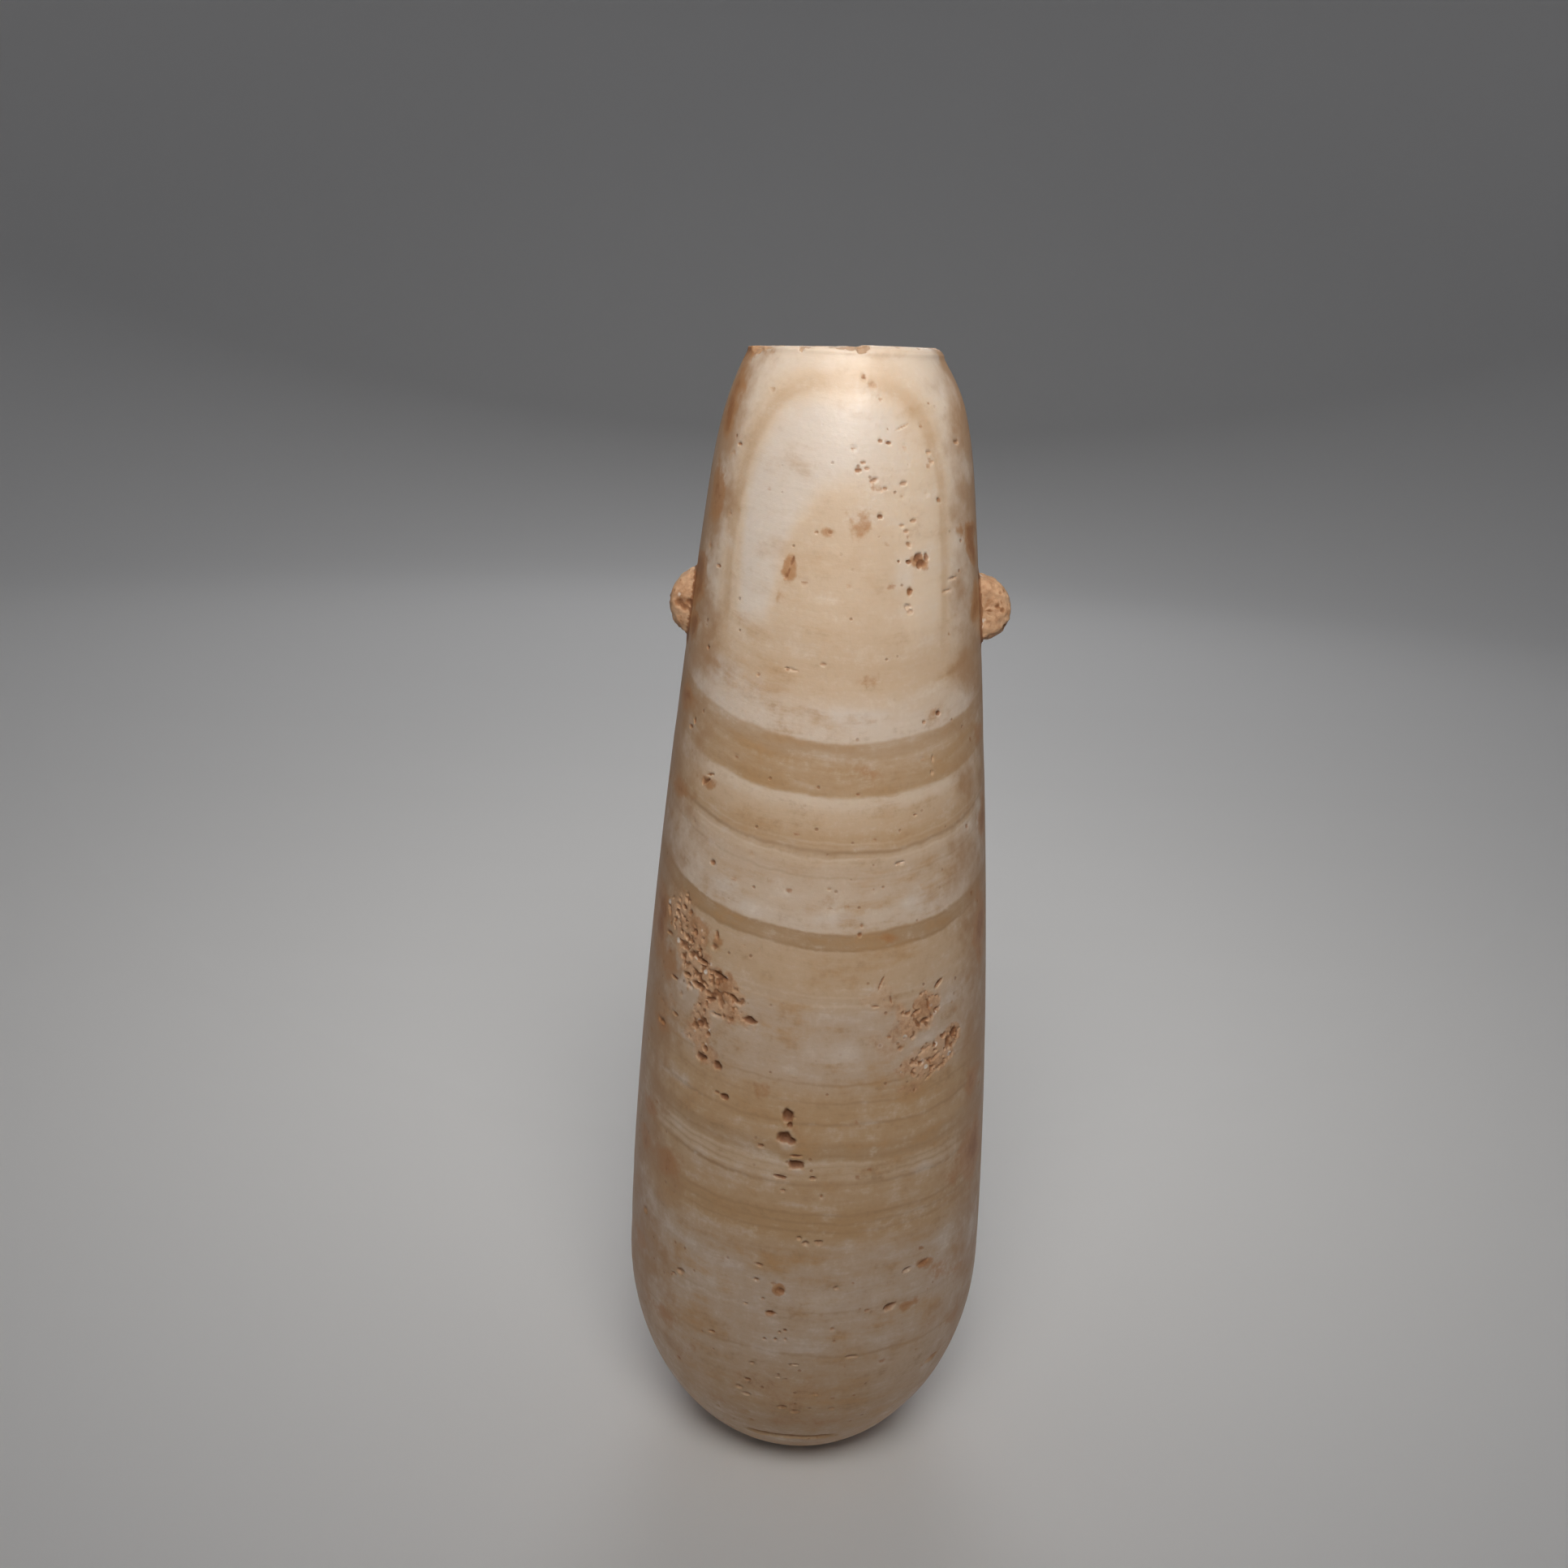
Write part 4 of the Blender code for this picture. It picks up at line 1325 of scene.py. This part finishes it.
class ALABASTRON_OT_stage(bpy.types.Operator):
    """Set up the pale floor, the soft lights and the camera"""

    bl_idname = "alabastron.stage"
    bl_label = "Set up the studio"
    bl_options = {"REGISTER", "UNDO"}

    def execute(self, context):
        studio = context.scene.alabastron_studio
        studio_bowl(tuple(studio.floor))
        key = area_light("key", (0.0, -0.30, 0.48), 0.30, studio.key, (1.0, 0.97, 0.92))
        key.rotation_euler = (Vector((0.0, 0.0, 0.27)) - key.location).to_track_quat("-Z", "Y").to_euler()
        key.data.spread = math.radians(70.0)
        area_light("left_fill", (-0.95, -0.35, 0.65), 0.7, studio.side, (0.97, 0.98, 1.0))
        area_light("right_fill", (0.95, -0.35, 0.65), 0.7, studio.side, (1.0, 0.98, 0.96))
        area_light("back_fill", (0.0, 1.0, 0.75), 0.7, studio.back, (1.0, 1.0, 1.0))
        world = bpy.data.worlds.new("studio_sky")
        world.use_nodes = True
        sky = world.node_tree.nodes["Background"]
        sky.inputs["Color"].default_value = (1.0, 1.0, 1.0, 1.0)
        sky.inputs["Strength"].default_value = studio.sky
        context.scene.world = world
        lens = bpy.data.cameras.new("camera")
        lens.lens = studio.lens
        lens.sensor_width = 36.0
        lens.clip_start = 0.01
        camera = object_from("camera", lens)
        camera.location = CAMERA_PLACE
        camera.rotation_euler = (math.pi / 2 - CAMERA_PITCH, 0.0, 0.0)
        camera.rotation_euler.rotate_axis("Z", CAMERA_ROLL)
        context.scene.camera = camera
        context.scene.view_settings.view_transform = "Standard"
        return {"FINISHED"}


class ALABASTRON_PT_panel(bpy.types.Panel):
    """Everything that makes the alabastron, in order"""

    bl_idname = "ALABASTRON_PT_panel"
    bl_label = "Alabastron"
    bl_space_type = "VIEW_3D"
    bl_region_type = "UI"
    bl_category = "Alabastron"

    def draw(self, context):
        scene = context.scene
        for operator, group in (
            ("alabastron.carve", scene.alabastron_form),
            (None, scene.alabastron_wear),
            ("alabastron.finish", scene.alabastron_stone),
            ("alabastron.stage", scene.alabastron_studio),
        ):
            box = self.layout.box()
            if operator:
                box.operator(operator)
            for name in group.bl_rna.properties.keys():
                if name not in ("rna_type", "name"):
                    box.prop(group, name)


GROUPS = {
    "alabastron_form": VesselForm,
    "alabastron_wear": VesselWear,
    "alabastron_stone": StoneColours,
    "alabastron_studio": Studio,
}
CLASSES = [
    *GROUPS.values(),
    ALABASTRON_OT_carve,
    ALABASTRON_OT_finish,
    ALABASTRON_OT_stage,
    ALABASTRON_PT_panel,
]


def register():
    for cls in CLASSES:
        bpy.utils.register_class(cls)
    for name, group in GROUPS.items():
        setattr(bpy.types.Scene, name, PointerProperty(type=group))


def unregister():
    for name in GROUPS:
        delattr(bpy.types.Scene, name)
    for cls in reversed(CLASSES):
        bpy.utils.unregister_class(cls)


def main():
    register()
    bpy.ops.alabastron.carve()
    bpy.ops.alabastron.finish()
    bpy.ops.alabastron.stage()


if __name__ == "__main__":
    main()
